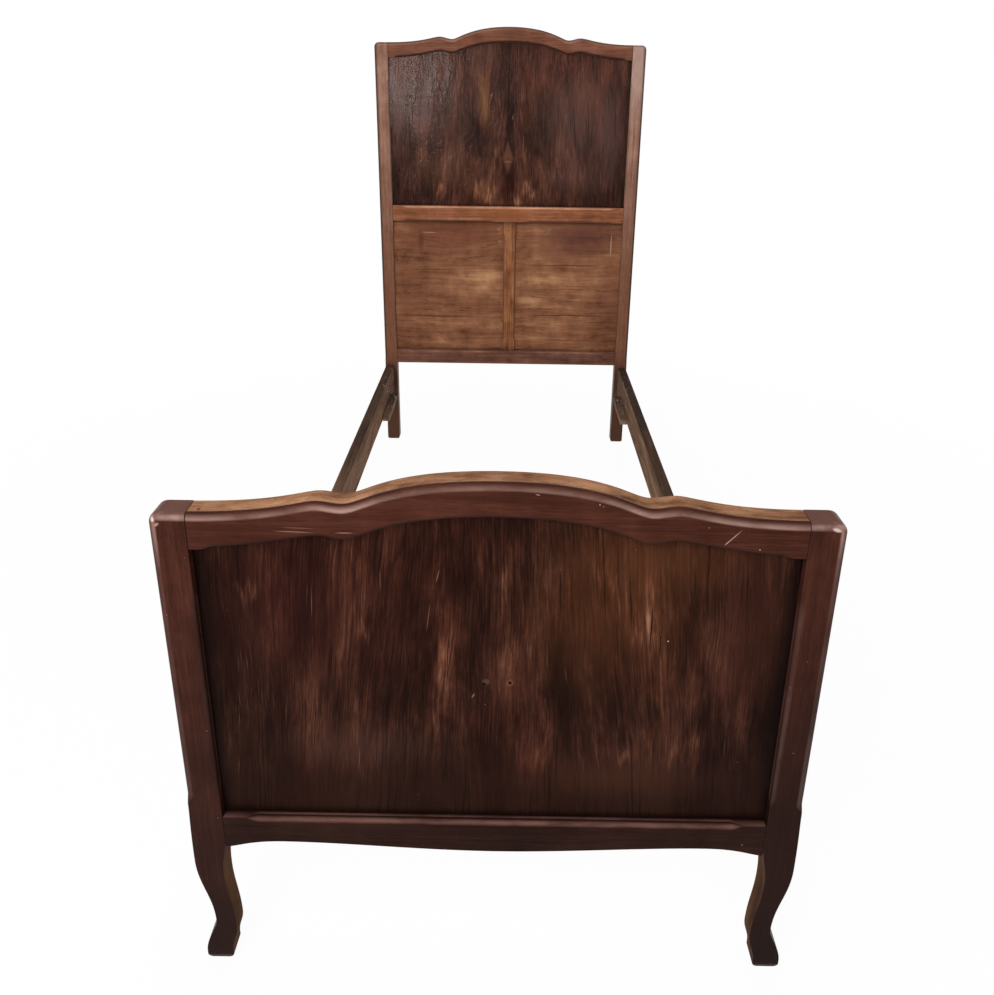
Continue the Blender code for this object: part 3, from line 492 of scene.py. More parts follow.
# Footboard top rail. A serpentine walnut rail sawn from one board and tenoned between the posts, with its
# front top edge rounded over and a stuck moulding below. Its flat top has lost its polish and shows tan wood.
FOOT_REACH = 0.382  # from the middle of the bed to a foot post
JOINT_GAP = 0.0003
TUCK, TUCK_RUN = 0.0004, 0.0006  # easing of a timber's end, and the length over which it eases
MOULDING_CREST_STOP = 0.014  # plain length beyond the moulding of a top rail
foot_scars = (
    ((0.288, 0.7303), (0.0009, 0.0185), 0.74, (190, 150, 130)),
    ((0.2815, 0.7235), (0.0007, 0.006), 0.74, (205, 168, 148)),
    ((-0.2440, 0.7345), (0.026, 0.0008), 0.02, (120, 80, 68)),
    ((-0.2500, 0.7292), (0.030, 0.0010), 0.03, (142, 104, 90)),
    ((-0.1875, 0.7287), (0.014, 0.0009), 0.0, (158, 118, 102)),
    ((0.0483, 0.7845), (0.004, 0.0008), 0.2, (186, 148, 128)),
    ((0.1233, 0.7724), (0.0012, 0.0012), 0, (205, 170, 150)),
    ((0.3222, 0.7143), (0.0012, 0.0012), 0, (200, 165, 145)),
    ((-0.368, 0.7518), (0.0032, 0.010), 0, (18, 11, 9), (-1.0150, 0.0040)))
foot_level_top = polished_walnut(
    "dark_walnut_level", "X", ((56, 28, 20), (66, 34, 25), (74, 40, 30), (88, 49, 37)), FOOT_CROWN,
    bare=((92, 58, 38), (166, 122, 92)), scars=foot_scars)
foot_top = flowing(((0, 0.047, 0, 0.74), (0.190, 0.0135, 0.13, 0.4), (0.222, 0.017, 0.4, 0.12),
                    (FOOT_REACH, 0, 0.66, 0)), FOOT_POST_HEIGHT)
foot_soffit = flowing(((0, 0.0475, 0, 0.74), (0.190, 0.0138, 0.13, 0.4), (0.222, 0.0185, 0.4, 0.12),
                       (FOOT_REACH, 0, 0.45, 0)), FOOT_SOFFIT)


def shut_joint(beyond):
    """Dirt in the joint at a timber's end, by how far a place lies beyond the end."""
    return smooth((beyond + 0.0014) / 0.0012)


def rail_rings(reach, front, depth, bottom, top, edges_at, grooves=()):
    """Rings of a rail from its left shoulder to its right one, its ends eased where they meet the posts."""
    end = reach - JOINT_GAP
    places = spread(-end, end, 0.005) + spread(-end, 0.06 - end, 0.0015) + spread(end - 0.06, end, 0.0015)
    rings = []
    for x in in_order(places + [TUCK_RUN - end, end - TUCK_RUN]):
        tucked = TUCK if abs(x) == end else 0.0
        rim = outline(tucked, depth - tucked, bottom(x) + tucked, top(x) - tucked, edges_at(x), grooves)
        shut = shut_joint(abs(x) - end)
        rings.append([(x, front + a, b, wear_and_highlight * (1 - shut), max(grime_and_shade, shut), bare * (1 - shut))
                      for a, b, wear_and_highlight, grime_and_shade, bare in rim])
    return rings


def moulding_share(place, runs, stop=MOULDING_STOP):
    return max((stopped(place, low + stop, high - stop) for low, high in runs), default=0.0)


def crest_edges(reach, rub_and_highlight, rub_and_highlight_share, shade=0.36, dark=0.0):
    """Edges of a crest rail: its crown rubbed and lit by a painted highlight so far at each place and
    darkened by painted shade on its far side, its moulding rubbed and darkened by painted shade so far as
    asked."""
    whole = ((-reach, reach),)
    return lambda x: (moulded_edge(moulding_share(x, whole, MOULDING_CREST_STOP), rub_and_highlight_share, dark), eased_edge(),
                      eased_edge(0, 1), rounded_edge(1.0, 1.0, rub_and_highlight(x), shade))


def foot_rub_and_highlight(x):
    """The crest is rubbed and lit by a painted highlight most at its dips and its right shoulder."""
    dips = max(1 - ((abs(x) - 0.185) / 0.060) ** 2, 0)
    return 0.42 + 0.68 * max(dips, 0.6 * smooth((x - 0.20) / 0.10), 0.4 * smooth((-0.24 - x) / 0.06))


def panel_groove(side, depth=None):
    """Groove for a panel in a side of a section, by the timber's depth where the side runs from the back."""
    if depth is None:
        return side, PANEL_SETBACK, PANEL_SETBACK + PANEL_THICKNESS, GROOVE_DEPTH
    return side, depth - PANEL_SETBACK - PANEL_THICKNESS, depth - PANEL_SETBACK, GROOVE_DEPTH


# The moulding under the crest is darkened by painted shade.
rings = rail_rings(FOOT_REACH, FOOT_FRONT, POST_DEPTH, foot_soffit, foot_top,
                   crest_edges(FOOT_REACH, foot_rub_and_highlight, 0.05, dark=0.9), (panel_groove(0),))
timber("foot_top_rail", rings, foot_level_top, "dark_walnut", "bed_ends", "footboard_top_rail")


# Footboard bottom rail. A walnut rail with a stuck moulding along its top edge and a lower edge sawn to a
# slow double curve, tenoned into the posts just above the knees of the legs.
FOOT_APRON = 0.220
# Its shades are those of the top rail darkened by painted shade.
foot_level_low = polished_walnut(
    "dark_walnut_low", "X", ((26, 12, 8), (34, 16, 11), (40, 21, 15), (50, 27, 20)), (150, 108, 98),
    scars=(((0.3507, 0.2398), (0.0012, 0.0012), 0, (176, 140, 124)),))
foot_apron = flowing(((0, -0.0005, 0, 0.36), (0.300, 0.011, 0.3, 0.6), (FOOT_REACH, 0, 0.2, 0)), FOOT_APRON)


def level(height):
    return lambda place: height


def turned_round(edge):
    return [(q, p, wear_and_highlight, grime_and_shade, bare) for p, q, wear_and_highlight, grime_and_shade, bare in reversed(edge)]


def straight_edges(below, above, below_rub_and_highlight=0.1, above_rub_and_highlight=1.0, ledge=0.0):
    """Edges of a straight rail, moulded along runs below and above."""
    # Mouldings below are rubbed and lit by a painted highlight as asked, and darkened by painted shade.
    return lambda x: (moulded_edge(moulding_share(x, below), below_rub_and_highlight, 0.4), eased_edge(), eased_edge(),
                      turned_round(moulded_edge(moulding_share(x, above), above_rub_and_highlight, ledge=ledge)))


# The plain ledge at each end of its moulding is lightened by painted light.
rings = rail_rings(FOOT_REACH, FOOT_FRONT, POST_DEPTH, foot_apron, level(FOOT_RAIL_TOP),
                   straight_edges((), ((-FOOT_REACH, FOOT_REACH),), above_rub_and_highlight=0.85, ledge=0.9),
                   (panel_groove(2, POST_DEPTH),))
timber("foot_bottom_rail", rings, foot_level_low, "dark_walnut", "bed_ends", "footboard_bottom_rail")


# Footboard panel. A thin panel veneered with two matched leaves of figured walnut, opened like a book on the
# middle line, its polish darkened by age and rubbed through to golden wood in upright streaks.
def bare_back(finish, front):
    """Share of the back of a panel in a frame with this front."""
    back = front + PANEL_SETBACK + PANEL_THICKNESS
    return finish.place.axis("Y").band(back - 0.003, back - 0.001)


def figured_veneer(name, shades, bounds, fan, run, quiet, patches, zones, marks, frame_shade, specular, gloss,
                   crinkle, warmth):
    """Matched veneer within bounds of half its width, its foot, its head and the front of its frame. Flames
    and fine lines, that run so far, sway and fan out downwards, quietly below a height, with torn patches,
    zones of another tint, hairline cracks, scratches, marks and painted shade along the frame, and with plain
    wood on the back."""
    reach, foot, head, front = bounds
    finish = Finish(name)
    wavy = finish.wander("X", (40, 1, 14), 0.004, finish.wander("X", (6, 1, 4), 0.022))
    place, height = wavy.axis("X"), finish.place.axis("Z")
    across = abs(place)
    lean = (height - head) * across.band(0, reach, fan, 0.15 * fan) * across.band(0, 0.8 * reach, 0.0, 1.3)
    matched = finish.add("CombineXYZ", {"X": across + lean, "Z": height})
    fanned = finish.add("CombineXYZ", {"X": place + lean * place.math("SIGN"), "Z": height})
    flames = finish.noise((9, 1, 2.2), detail=4, rough=0.60, twist=0.6, place=matched, shift=(3.1, 0, 0.7))
    mottle = finish.noise((24, 1, 7), detail=3, rough=0.6, place=fanned)
    strokes = finish.noise((90, 1, 1 / run), detail=3, rough=0.66, place=fanned, shift=(1.7, 0, 2.3))
    lines = finish.noise((260, 1, 1.3 / run), detail=3, rough=0.68, place=fanned)
    threads = finish.noise((480, 1, 14), detail=3, rough=0.68, place=fanned)
    fibres = finish.noise((170, 1, 30), detail=5, rough=0.74, place=fanned, shift=(6, 0, 1))
    lively = finish.noise((7, 1, 3), detail=3, place=matched, shift=(4, 0, 6))
    streaks = (strokes * 0.15 + lines * 0.24 - 0.195) * lively.band(0.40, 0.60, 0.3, 1.25)
    figure = flames * 0.44 + mottle * 0.22 + fibres * 0.20 + threads * 0.24 - 0.06 + streaks
    torn = finish.wander("Z", (90, 1, 4), 0.12, finish.wander("X", (40, 1, 9), 0.020))
    grained = (strokes * 0.3 + lines * 0.4 + fibres * 0.3).band(0.42, 0.58)
    for where, size, turn, strength, solid in patches:
        patch = finish.spot(where, size, turn, core=0.25 if size[0] < 0.025 else 0.0, swayed=torn)
        figure = figure + patch * (grained * (1 - solid) + solid) * strength
    low, high, level_tone, share = quiet
    stilled = (height + mottle * 0.09).band(low, high, share, 0.0)
    figure = figure + (level_tone - figure) * stilled
    colour = figure.tones((0.40, 0.46, 0.51, 0.57, 0.65, 0.76), shades)
    cast = finish.noise((5, 1, 3.5), detail=3, place=fanned, shift=(7, 0, 1)).band(0.40, 0.60)
    colour = colour.covered(cast, (1.04, 0.92, 0.90, 1.0), "MULTIPLY")
    for where, size, turn, shade, strength in zones:
        colour = colour.stained(finish.spot(where, size, turn, core=0.0) * strength, shade)
    grouped = finish.noise((16, 1, 5), place=fanned, shift=(9, 0, 4))
    cracks = finish.noise((330, 1, 5), place=fanned, shift=(2, 0, 8)).band(0.58, 0.66)
    cracks = cracks * grouped.band(0.42, 0.56)
    colour = colour.stained(cracks * 0.60, (14, 7, 6))
    scratches = finish.noise((420, 1, 12), place=fanned, shift=(5, 0, 3)).band(0.62, 0.72)
    colour = colour.stained(scratches * grouped.band(0.46, 0.36) * 0.26, (146, 110, 92))
    pores = finish.noise((800, 1, 40), detail=1, place=fanned).band(0.62, 0.72)
    colour = colour.stained(pores * 0.25, (16, 9, 8))
    for where, size, turn, shade, strength, *pointed in marks:
        spot = finish.spot(where, size, turn, core=0.5, pointed=bool(pointed))
        colour = colour.stained(spot * strength, shade)
    # Painted shade where the panel meets the posts and the bottom rail.
    sides = abs(finish.place.axis("X")).band(reach - 0.024, reach - 0.002)
    ledge = height.band(foot + 0.014, foot)
    colour = colour.stained(sides.math("MAXIMUM", ledge) * frame_shade, (12, 7, 6))
    fleck = finish.flecks(75, 0.06, 0.035, 0.94)
    colour = colour.stained(fleck * 0.45, (150, 118, 98))
    behind = bare_back(finish, front)
    plain = flames * 0.30 + strokes * 0.25 + lines * 0.25 + threads * 0.20
    plain = plain.tones((0.40, 0.50, 0.60), ((68, 43, 30), (84, 55, 39), (102, 70, 51)))
    colour = colour.covered(behind, plain)
    creases = finish.noise((60, 1, 40), twist=0.8) * lively.band(0.36, 0.60)
    roughness = threads * 0.10 + mottle * 0.20 + behind * 0.30 + (gloss - 0.15)
    relief = threads * 0.2 - cracks * 0.7 - pores * 0.2 + creases * crinkle - fleck * 0.5
    return finish.lay(colour, roughness, relief, specular, warmth)


def dress(node, finish):
    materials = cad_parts[node].data.materials
    materials.clear()
    materials.append(finish)


foot_patches = (
    ((-0.073, 0.492), (0.019, 0.144), 0.14, 0.090, 0.4), ((-0.076, 0.470), (0.014, 0.075), 0.14, 0.03, 0.7),
    ((0.195, 0.602), (0.026, 0.078), 0.0, 0.12, 0.45), ((0.194, 0.580), (0.028, 0.040), 0.0, 0.05, 0.4),
    ((0.166, 0.604), (0.028, 0.074), -0.1, 0.09, 0.35), ((0.139, 0.660), (0.018, 0.033), -0.5, 0.13, 0.4),
    ((0.196, 0.672), (0.019, 0.045), 0.0, 0.07, 0.4), ((0.2765, 0.394), (0.014, 0.050), 0.0, 0.15, 0.5),
    ((0.2765, 0.369), (0.018, 0.018), 0.0, 0.07, 0.6), ((0.2437, 0.384), (0.011, 0.037), 0.0, 0.10, 0.4),
    ((0.178, 0.376), (0.011, 0.018), 0.2, 0.10, 0.5), ((0.262, 0.362), (0.027, 0.010), 0.0, 0.07, 0.2),
    ((-0.262, 0.487), (0.032, 0.069), 0.05, 0.06, 0.6), ((-0.321, 0.634), (0.024, 0.022), 0.3, 0.13, 0.2),
    ((-0.176, 0.679), (0.014, 0.033), 0.0, 0.08, 0.5), ((-0.170, 0.577), (0.018, 0.025), 0.0, 0.09, 0.7),
    ((0.010, 0.661), (0.012, 0.050), 0.0, 0.08, 0.5), ((0.081, 0.640), (0.095, 0.106), 0.0, 0.05, 0.2),
    ((0.0754, 0.428), (0.019, 0.075), -0.05, 0.07, 0.5), ((0.066, 0.368), (0.041, 0.022), 0.0, 0.07, 0.7),
    ((0.020, 0.500), (0.035, 0.094), 0.0, 0.05, 0.5), ((0.0185, 0.536), (0.022, 0.030), 0.0, 0.06, 0.7),
    ((0.300, 0.650), (0.121, 0.125), 0.0, 0.03, 0.7), ((0.310, 0.530), (0.081, 0.125), 0.0, 0.02, 0.6),
    ((0.318, 0.440), (0.022, 0.050), 0.0, 0.05, 0.3), ((-0.130, 0.420), (0.054, 0.062), 0.0, 0.03, 0.4),
    ((-0.254, 0.586), (0.062, 0.088), 0.0, -0.05, 1.0), ((-0.047, 0.648), (0.046, 0.088), 0.08, -0.07, 0.9),
    ((-0.020, 0.570), (0.035, 0.088), 0.2, -0.05, 0.9), ((0.085, 0.500), (0.035, 0.112), -0.15, -0.05, 0.9),
    ((0.245, 0.540), (0.024, 0.069), 0.0, -0.04, 0.8), ((0.262, 0.440), (0.049, 0.030), 0.0, -0.04, 0.6),
    ((0.368, 0.420), (0.038, 0.188), 0.0, -0.05, 1.0), ((-0.034, 0.500), (0.030, 0.100), 0.1, -0.045, 1.0),
    ((-0.118, 0.510), (0.032, 0.090), 0.1, -0.035, 1.0), ((-0.310, 0.500), (0.080, 0.070), 0.0, -0.025, 1.0))
foot_zones = (
    ((-0.25, 0.60), (0.20, 0.20), 0.0, (62, 28, 25), 0.28),
    ((0.15, 0.61), (0.16, 0.18), 0.0, (98, 58, 32), 0.26),
    ((0.21, 0.69), (0.17, 0.07), 0.0, (110, 66, 40), 0.26),
    ((-0.19, 0.393), (0.14, 0.050), 0.0, (72, 50, 42), 0.32),
    ((0.33, 0.60), (0.08, 0.20), 0.0, (76, 42, 32), 0.36),
    ((0.17, 0.345), (0.20, 0.055), 0.0, (70, 42, 29), 0.45),
    ((0.024, 0.500), (0.034, 0.070), 0.0, (84, 44, 34), 0.30))
foot_marks = (
    ((0.0188, 0.5004), (0.0062, 0.0074), 0, (104, 70, 54), 0.65),
    ((0.0188, 0.5004), (0.0030, 0.0034), 0, (12, 7, 6), 0.95),
    ((-0.0130, 0.5015), (0.0060, 0.0060), 0.6, (92, 68, 58), 0.55),
    ((-0.0157, 0.4981), (0.0034, 0.0030), 0, (10, 6, 6), 0.95),
    ((0.0330, 0.4740), (0.0040, 0.0040), 0, (78, 50, 40), 0.5),
    ((0.0325, 0.4742), (0.0016, 0.0020), 0, (16, 9, 8), 0.8),
    ((-0.0300, 0.4790), (0.0014, 0.0050), 0.5, (128, 98, 86), 0.7),
    ((-0.088, 0.600), (0.0009, 0.026), 0.12, (140, 102, 84), 0.35),
    ((-0.075, 0.662), (0.0008, 0.012), 0.25, (160, 124, 104), 0.35),
    ((-0.148, 0.655), (0.0008, 0.018), 0.0, (140, 98, 70), 0.3),
    ((0.2000, 0.590), (0.0011, 0.050), 0.0, (16, 8, 6), 0.9),
    ((0.1905, 0.575), (0.0008, 0.040), 0.0, (20, 10, 8), 0.7),
    ((0.2130, 0.560), (0.0008, 0.050), 0.0, (20, 10, 8), 0.7),
    ((0.1580, 0.560), (0.0008, 0.060), -0.1, (20, 10, 8), 0.6),
    ((-0.060, 0.540), (0.0009, 0.060), 0.14, (16, 8, 7), 0.7),
    ((0.2230, 0.5700), (0.0012, 0.0012), 0, (200, 180, 168), 0.9))
dress("footboard_panel", figured_veneer(
    "figured_dark_veneer",
    ((20, 9, 6), (32, 16, 12), (46, 25, 18), (67, 39, 29), (100, 65, 49), (148, 110, 85)),
    (FOOT_REACH, FOOT_RAIL_TOP, foot_soffit(0), FOOT_FRONT), fan=0.20, run=0.26,
    quiet=(0.36, 0.48, 0.458, 0.72), patches=foot_patches, zones=foot_zones, marks=foot_marks, frame_shade=0.7,
    specular=0.035, gloss=0.34, crinkle=0.8, warmth=POLISH_WARMTH))


# Headboard posts. Straight square walnut posts that run down to plain legs, rounded over and moulded like the
# posts at the foot, with a lighter and redder polish, and with painted shade along their outer edges and
# tops.
HEAD_FRONT = 0.991
HEAD_POST_WIDTH = 0.042
HEAD_POST_HEIGHT = 1.347
HEAD_SOFFIT = 1.302
MID_RAIL_BOTTOM, MID_RAIL_TOP = 0.792, 0.842
LOW_RAIL_BOTTOM, LOW_RAIL_TOP = 0.293, 0.340
HEAD_CROWN = (186, 144, 122)
POST_SHADES = (118, 80, 64), (136, 98, 82), (150, 112, 96), (168, 132, 116)
# How far the head posts' round-overs and mouldings are rubbed and lit by a painted highlight, and how far
# painted shade darkens their mouldings.
HEAD_RUB_AND_HIGHLIGHT = (0.1, 0.1, 0.3, 0.2)
# Painted light and shade by height: the posts warmer below 1.1 m, their legs darkened by painted shade, and
# the right post paler at its top with a painted sheen.
warm_and_shaded_below = ((0.55, 1.10, 0.75, (110, 68, 46)), (0.22, 0.36, 0.62, (40, 26, 22)))
head_painted_light = {"left": warm_and_shaded_below, "right": ((1.24, 1.08, 0.55, (188, 160, 146)),) + warm_and_shaded_below}
head_mouldings = ((LOW_RAIL_TOP + MOULDING_STOP, MID_RAIL_BOTTOM - MOULDING_STOP),
                  (MID_RAIL_TOP + MOULDING_STOP, HEAD_SOFFIT - MOULDING_POST_STOP))
head_grooves = ((LOW_RAIL_TOP - GROOVE_DEPTH, MID_RAIL_BOTTOM + GROOVE_DEPTH),
                (MID_RAIL_TOP - GROOVE_DEPTH, HEAD_SOFFIT + GROOVE_DEPTH))


def straight_leg(z):
    return 0, HEAD_POST_WIDTH, POST_DEPTH, rounded_toe(z)


for word, side in SIDES.items():
    upright = polished_walnut(f"red_walnut_{word}", "Z", POST_SHADES, HEAD_CROWN, painted_light_by_height=head_painted_light[word],
                              gloss=0.42, specular=0.10)
    # A shade of 1.1 paints the far sides of their round-overs and their tops dark.
    rings = post_rings(side, HEAD_FRONT, HEAD_POST_HEIGHT, straight_leg, head_mouldings, head_grooves,
                       toe_levels + spread(TOE_ROUND, HEAD_POST_HEIGHT - 0.02, 0.03), HEAD_RUB_AND_HIGHLIGHT, shade=1.1)
    timber(f"head_{word}_post", rings, upright, "red_walnut", "bed_ends", f"headboard_{word}_post")


# Headboard top rail. The taller fellow of the foot rail: a serpentine crest rounded over on the front and
# moulded above the panel, its arch springing a little earlier from the level ends.
HEAD_REACH = 0.386  # from the middle of the bed to a head post
head_level = polished_walnut(
    "red_walnut_level", "X", ((88, 52, 39), (104, 64, 48), (116, 73, 56), (134, 90, 71)), HEAD_CROWN,
    bare=((70, 52, 42), (112, 84, 64)), gloss=0.42, specular=0.12)
head_top = flowing(((0, 0.049, 0, 0.68), (0.182, 0.0115, 0.10, 0.4), (0.222, 0.018, 0.4, 0.12),
                    (HEAD_REACH, 0, 0.66, 0)), HEAD_POST_HEIGHT)
head_soffit = flowing(((0, 0.0485, 0, 0.68), (0.182, 0.0150, 0.10, 0.4), (0.222, 0.0200, 0.4, 0.12),
                       (HEAD_REACH, 0, 0.55, 0)), HEAD_SOFFIT)


# The crest is rubbed and lit by a painted highlight most at its dips, darkened by painted shade along its top
# edge and under its moulding.
def head_rub_and_highlight(x):
    return 0.30 + 0.6 * max(1 - ((abs(x) - 0.190) / 0.035) ** 2, 0)


rings = rail_rings(HEAD_REACH, HEAD_FRONT, POST_DEPTH, head_soffit, head_top,
                   crest_edges(HEAD_REACH, head_rub_and_highlight, 0.05, 0.85, 0.9), (panel_groove(0),))
timber("head_top_rail", rings, head_level, "red_walnut", "bed_ends", "headboard_top_rail")


# Headboard mid rail and bottom rail. Straight walnut rails, a little thinner than the posts, tenoned between
# them and moulded towards each panel.
HEAD_RAIL_DEPTH = 0.032
MUNTIN_LEFT, MUNTIN_RIGHT = -0.013, 0.027
head_bays = ((-HEAD_REACH, MUNTIN_LEFT), (MUNTIN_RIGHT, HEAD_REACH))
thin_groove = panel_groove(2, HEAD_RAIL_DEPTH)
mid_wood = polished_walnut(
    "orange_walnut_level", "X", ((104, 60, 38), (128, 78, 52), (146, 92, 64), (166, 112, 82)),
    (216, 166, 134), gloss=0.42, specular=0.12, scars=(((0.0, 0.816), (0.12, 0.03), 0, (142, 82, 46)),))
low_wood = polished_walnut(
    "brown_walnut_level", "X", ((68, 42, 33), (96, 62, 49), (112, 75, 60), (136, 94, 76)),
    (160, 118, 98), gloss=0.46, specular=0.12)
rings = rail_rings(HEAD_REACH, HEAD_FRONT, HEAD_RAIL_DEPTH, level(MID_RAIL_BOTTOM), level(MID_RAIL_TOP),
                   straight_edges(head_bays, ((-HEAD_REACH, HEAD_REACH),)), (panel_groove(0), thin_groove))
timber("head_mid_rail", rings, mid_wood, "red_walnut", "bed_ends", "headboard_mid_rail")
rings = rail_rings(HEAD_REACH, HEAD_FRONT, HEAD_RAIL_DEPTH, level(LOW_RAIL_BOTTOM), level(LOW_RAIL_TOP),
                   straight_edges((), head_bays, above_rub_and_highlight=0.3), (thin_groove,))
timber("head_bottom_rail", rings, low_wood, "red_walnut", "bed_ends", "headboard_bottom_rail")


# Headboard muntin. A short walnut upright between the two lower panels, a little to the right of the middle,
# moulded on both front arrises and tenoned into the rails above and below it.
muntin_wood = polished_walnut(
    "orange_walnut_upright", "Z", ((84, 48, 30), (118, 72, 46), (146, 96, 62), (170, 120, 84)),
    (186, 140, 108), gloss=0.44, specular=0.12)
low_end, high_end = LOW_RAIL_TOP + JOINT_GAP, MID_RAIL_BOTTOM - JOINT_GAP
start, end = head_mouldings[0]
rings = []
for z in in_order(spread(low_end, high_end, 0.02) + spread(start, start + STOP_RUN, 0.0015)
                  + spread(end - STOP_RUN, end, 0.0015) + [low_end + TUCK_RUN, high_end - TUCK_RUN]):
    tucked = TUCK if z in (low_end, high_end) else 0.0
    # Its mouldings are rubbed and lit a little by a painted highlight and darkened a little by painted shade.
    edge = moulded_edge(stopped(z, start, end), 0.3, 0.2)
    rim = outline(MUNTIN_LEFT + tucked, MUNTIN_RIGHT - tucked, tucked, HEAD_RAIL_DEPTH - tucked,
                  (turned_round(edge), edge, eased_edge(), eased_edge()),
                  (panel_groove(1), panel_groove(3, HEAD_RAIL_DEPTH)))
    shut = shut_joint(max(low_end - z, z - high_end))
    rings.append([(a, HEAD_FRONT + b, z, wear_and_highlight * (1 - shut), max(grime_and_shade, shut), bare)
                  for a, b, wear_and_highlight, grime_and_shade, bare in rim])
timber("head_muntin", rings, muntin_wood, "red_walnut", "bed_ends", "headboard_muntin")


# Headboard upper panel. Veneered like the panel at the foot from two matched leaves, with a small lozenge of
# burr on the seam where the leaves meet and a livelier figure below it.
head_patches = (
    ((-0.087, 1.190), (0.032, 0.130), 0.0, 0.10, 0.4), ((0.085, 1.10), (0.045, 0.15), 0.0, 0.04, 0.1),
    ((0.230, 1.150), (0.120, 0.140), 0.0, 0.03, 0.7), ((-0.2273, 0.893), (0.014, 0.024), 0.0, 0.12, 0.5),
    ((-0.062, 0.880), (0.030, 0.050), 0.6, 0.20, 0.1), ((0.070, 0.885), (0.030, 0.050), -0.6, 0.18, 0.1),
    ((-0.100, 0.900), (0.020, 0.045), 0.3, 0.14, 0.2), ((0.030, 0.870), (0.016, 0.030), -0.2, 0.16, 0.2),
    ((-0.215, 0.980), (0.014, 0.060), 0.0, 0.10, 0.2), ((0.240, 0.960), (0.020, 0.080), 0.0, 0.07, 0.1),
    ((-0.120, 1.290), (0.050, 0.050), 0.0, 0.05, 0.1), ((-0.285, 1.000), (0.030, 0.080), 0.0, 0.08, 0.1),
    ((0.050, 1.020), (0.012, 0.080), -0.1, 0.08, 0.2), ((-0.050, 0.980), (0.012, 0.070), 0.2, 0.08, 0.2),
    ((0.170, 0.960), (0.014, 0.090), -0.1, 0.07, 0.2), ((0.0, 1.16), (0.030, 0.16), 0.0, -0.06, 1.0),
    ((0.270, 0.880), (0.120, 0.045), 0.0, -0.05, 1.0), ((-0.310, 0.890), (0.080, 0.050), 0.0, -0.05, 1.0),
    ((-0.300, 1.220), (0.100, 0.120), 0.0, -0.02, 1.0))
# The grey zones at the upper left, the right edge and the upper right are a painted sheen.
head_zones = (
    ((-0.300, 1.150), (0.100, 0.170), 0.0, (92, 74, 72), 0.30),
    ((0.330, 1.080), (0.060, 0.220), 0.0, (86, 66, 66), 0.40),
    ((-0.080, 1.170), (0.030, 0.120), 0.0, (132, 88, 42), 0.38),
    ((-0.085, 0.885), (0.050, 0.050), 0.0, (120, 78, 44), 0.30),
    ((0.220, 1.120), (0.170, 0.220), 0.0, (98, 72, 66), 0.42),
    ((-0.210, 0.960), (0.170, 0.110), 0.0, (104, 68, 52), 0.34),
    ((0.220, 0.930), (0.180, 0.090), 0.0, (98, 68, 60), 0.34))
head_marks = (
    ((-0.0025, 1.0086), (0.032, 0.095), 0, (34, 18, 14), 0.75, "pointed"),
    ((-0.0025, 0.9990), (0.023, 0.066), 0, (112, 72, 54), 0.55, "pointed"),
    ((-0.0025, 0.9870), (0.015, 0.0040), 0, (138, 98, 76), 0.40),
    ((-0.0025, 0.9930), (0.017, 0.0030), 0, (70, 42, 32), 0.45),
    ((-0.0060, 1.0260), (0.0030, 0.026), 0, (84, 52, 40), 0.40),
    ((-0.0015, 1.20), (0.0030, 0.15), 0, (24, 12, 9), 0.85),
    ((-0.0015, 0.91), (0.0030, 0.07), 0, (24, 12, 9), 0.8))
dress("headboard_upper_panel", figured_veneer(
    "figured_veneer",
    ((30, 15, 11), (48, 27, 20), (66, 39, 30), (88, 55, 43), (120, 81, 62), (154, 112, 86)),
    (HEAD_REACH, MID_RAIL_TOP, head_soffit(0), HEAD_FRONT), fan=0.10, run=0.075,
    quiet=(0.0, 0.1, 0.5, 0.0), patches=head_patches, zones=head_zones, marks=head_marks, frame_shade=0.45,
    specular=0.09, gloss=0.16, crinkle=2.4, warmth=(1.0, 0.84, 0.78)))


# Headboard lower panels. Two plainer panels, each one leaf of walnut laid with its grain level, faded golden
# and crossed by a few hairline cracks.
faded_patches = (
    ((-0.064, 0.604), (0.08, 0.040), 0.12), ((0.082, 0.520), (0.06, 0.034), 0.13),
    ((0.120, 0.590), (0.16, 0.025), 0.06), ((-0.20, 0.77), (0.20, 0.06), -0.05),
    ((0.26, 0.74), (0.16, 0.08), -0.07), ((0.34, 0.42), (0.08, 0.12), -0.04),
    ((-0.230, 0.380), (0.05, 0.025), 0.09), ((-0.07, 0.50), (0.07, 0.06), -0.04),
    ((-0.30, 0.60), (0.06, 0.20), -0.03))
faded_zones = (
    ((-0.20, 0.750), (0.26, 0.11), (106, 58, 44), 0.60), ((0.24, 0.740), (0.20, 0.12), (98, 58, 50), 0.66),
    ((0.36, 0.520), (0.07, 0.16), (108, 66, 52), 0.40), ((-0.33, 0.520), (0.07, 0.16), (108, 64, 48), 0.40),
    ((-0.294, 0.722), (0.016, 0.060), (84, 40, 30), 0.55), ((-0.10, 0.47), (0.08, 0.05), (108, 60, 44), 0.35))
faded_lines = (
    ((-0.23, 0.461), (0.170, 0.0036), (44, 24, 18)), ((0.206, 0.644), (0.190, 0.0030), (52, 28, 20)),
    ((0.206, 0.468), (0.190, 0.0036), (44, 24, 18)), ((-0.24, 0.628), (0.120, 0.0026), (64, 36, 26)),
    ((0.206, 0.560), (0.140, 0.0022), (84, 52, 36)), ((0.351, 0.714), (0.0030, 0.055), (176, 138, 120)),
    ((-0.265, 0.752), (0.035, 0.0030), (168, 122, 96)),
    ((-0.028, 0.7705), (0.014, 0.0018), (172, 128, 106), -0.5),
    ((-0.030, 0.7620), (0.013, 0.0018), (176, 132, 108), 0.35),
    ((-0.026, 0.7520), (0.013, 0.0020), (168, 124, 102), -0.3),
    ((-0.026, 0.7250), (0.010, 0.0020), (166, 122, 100), 0.3))


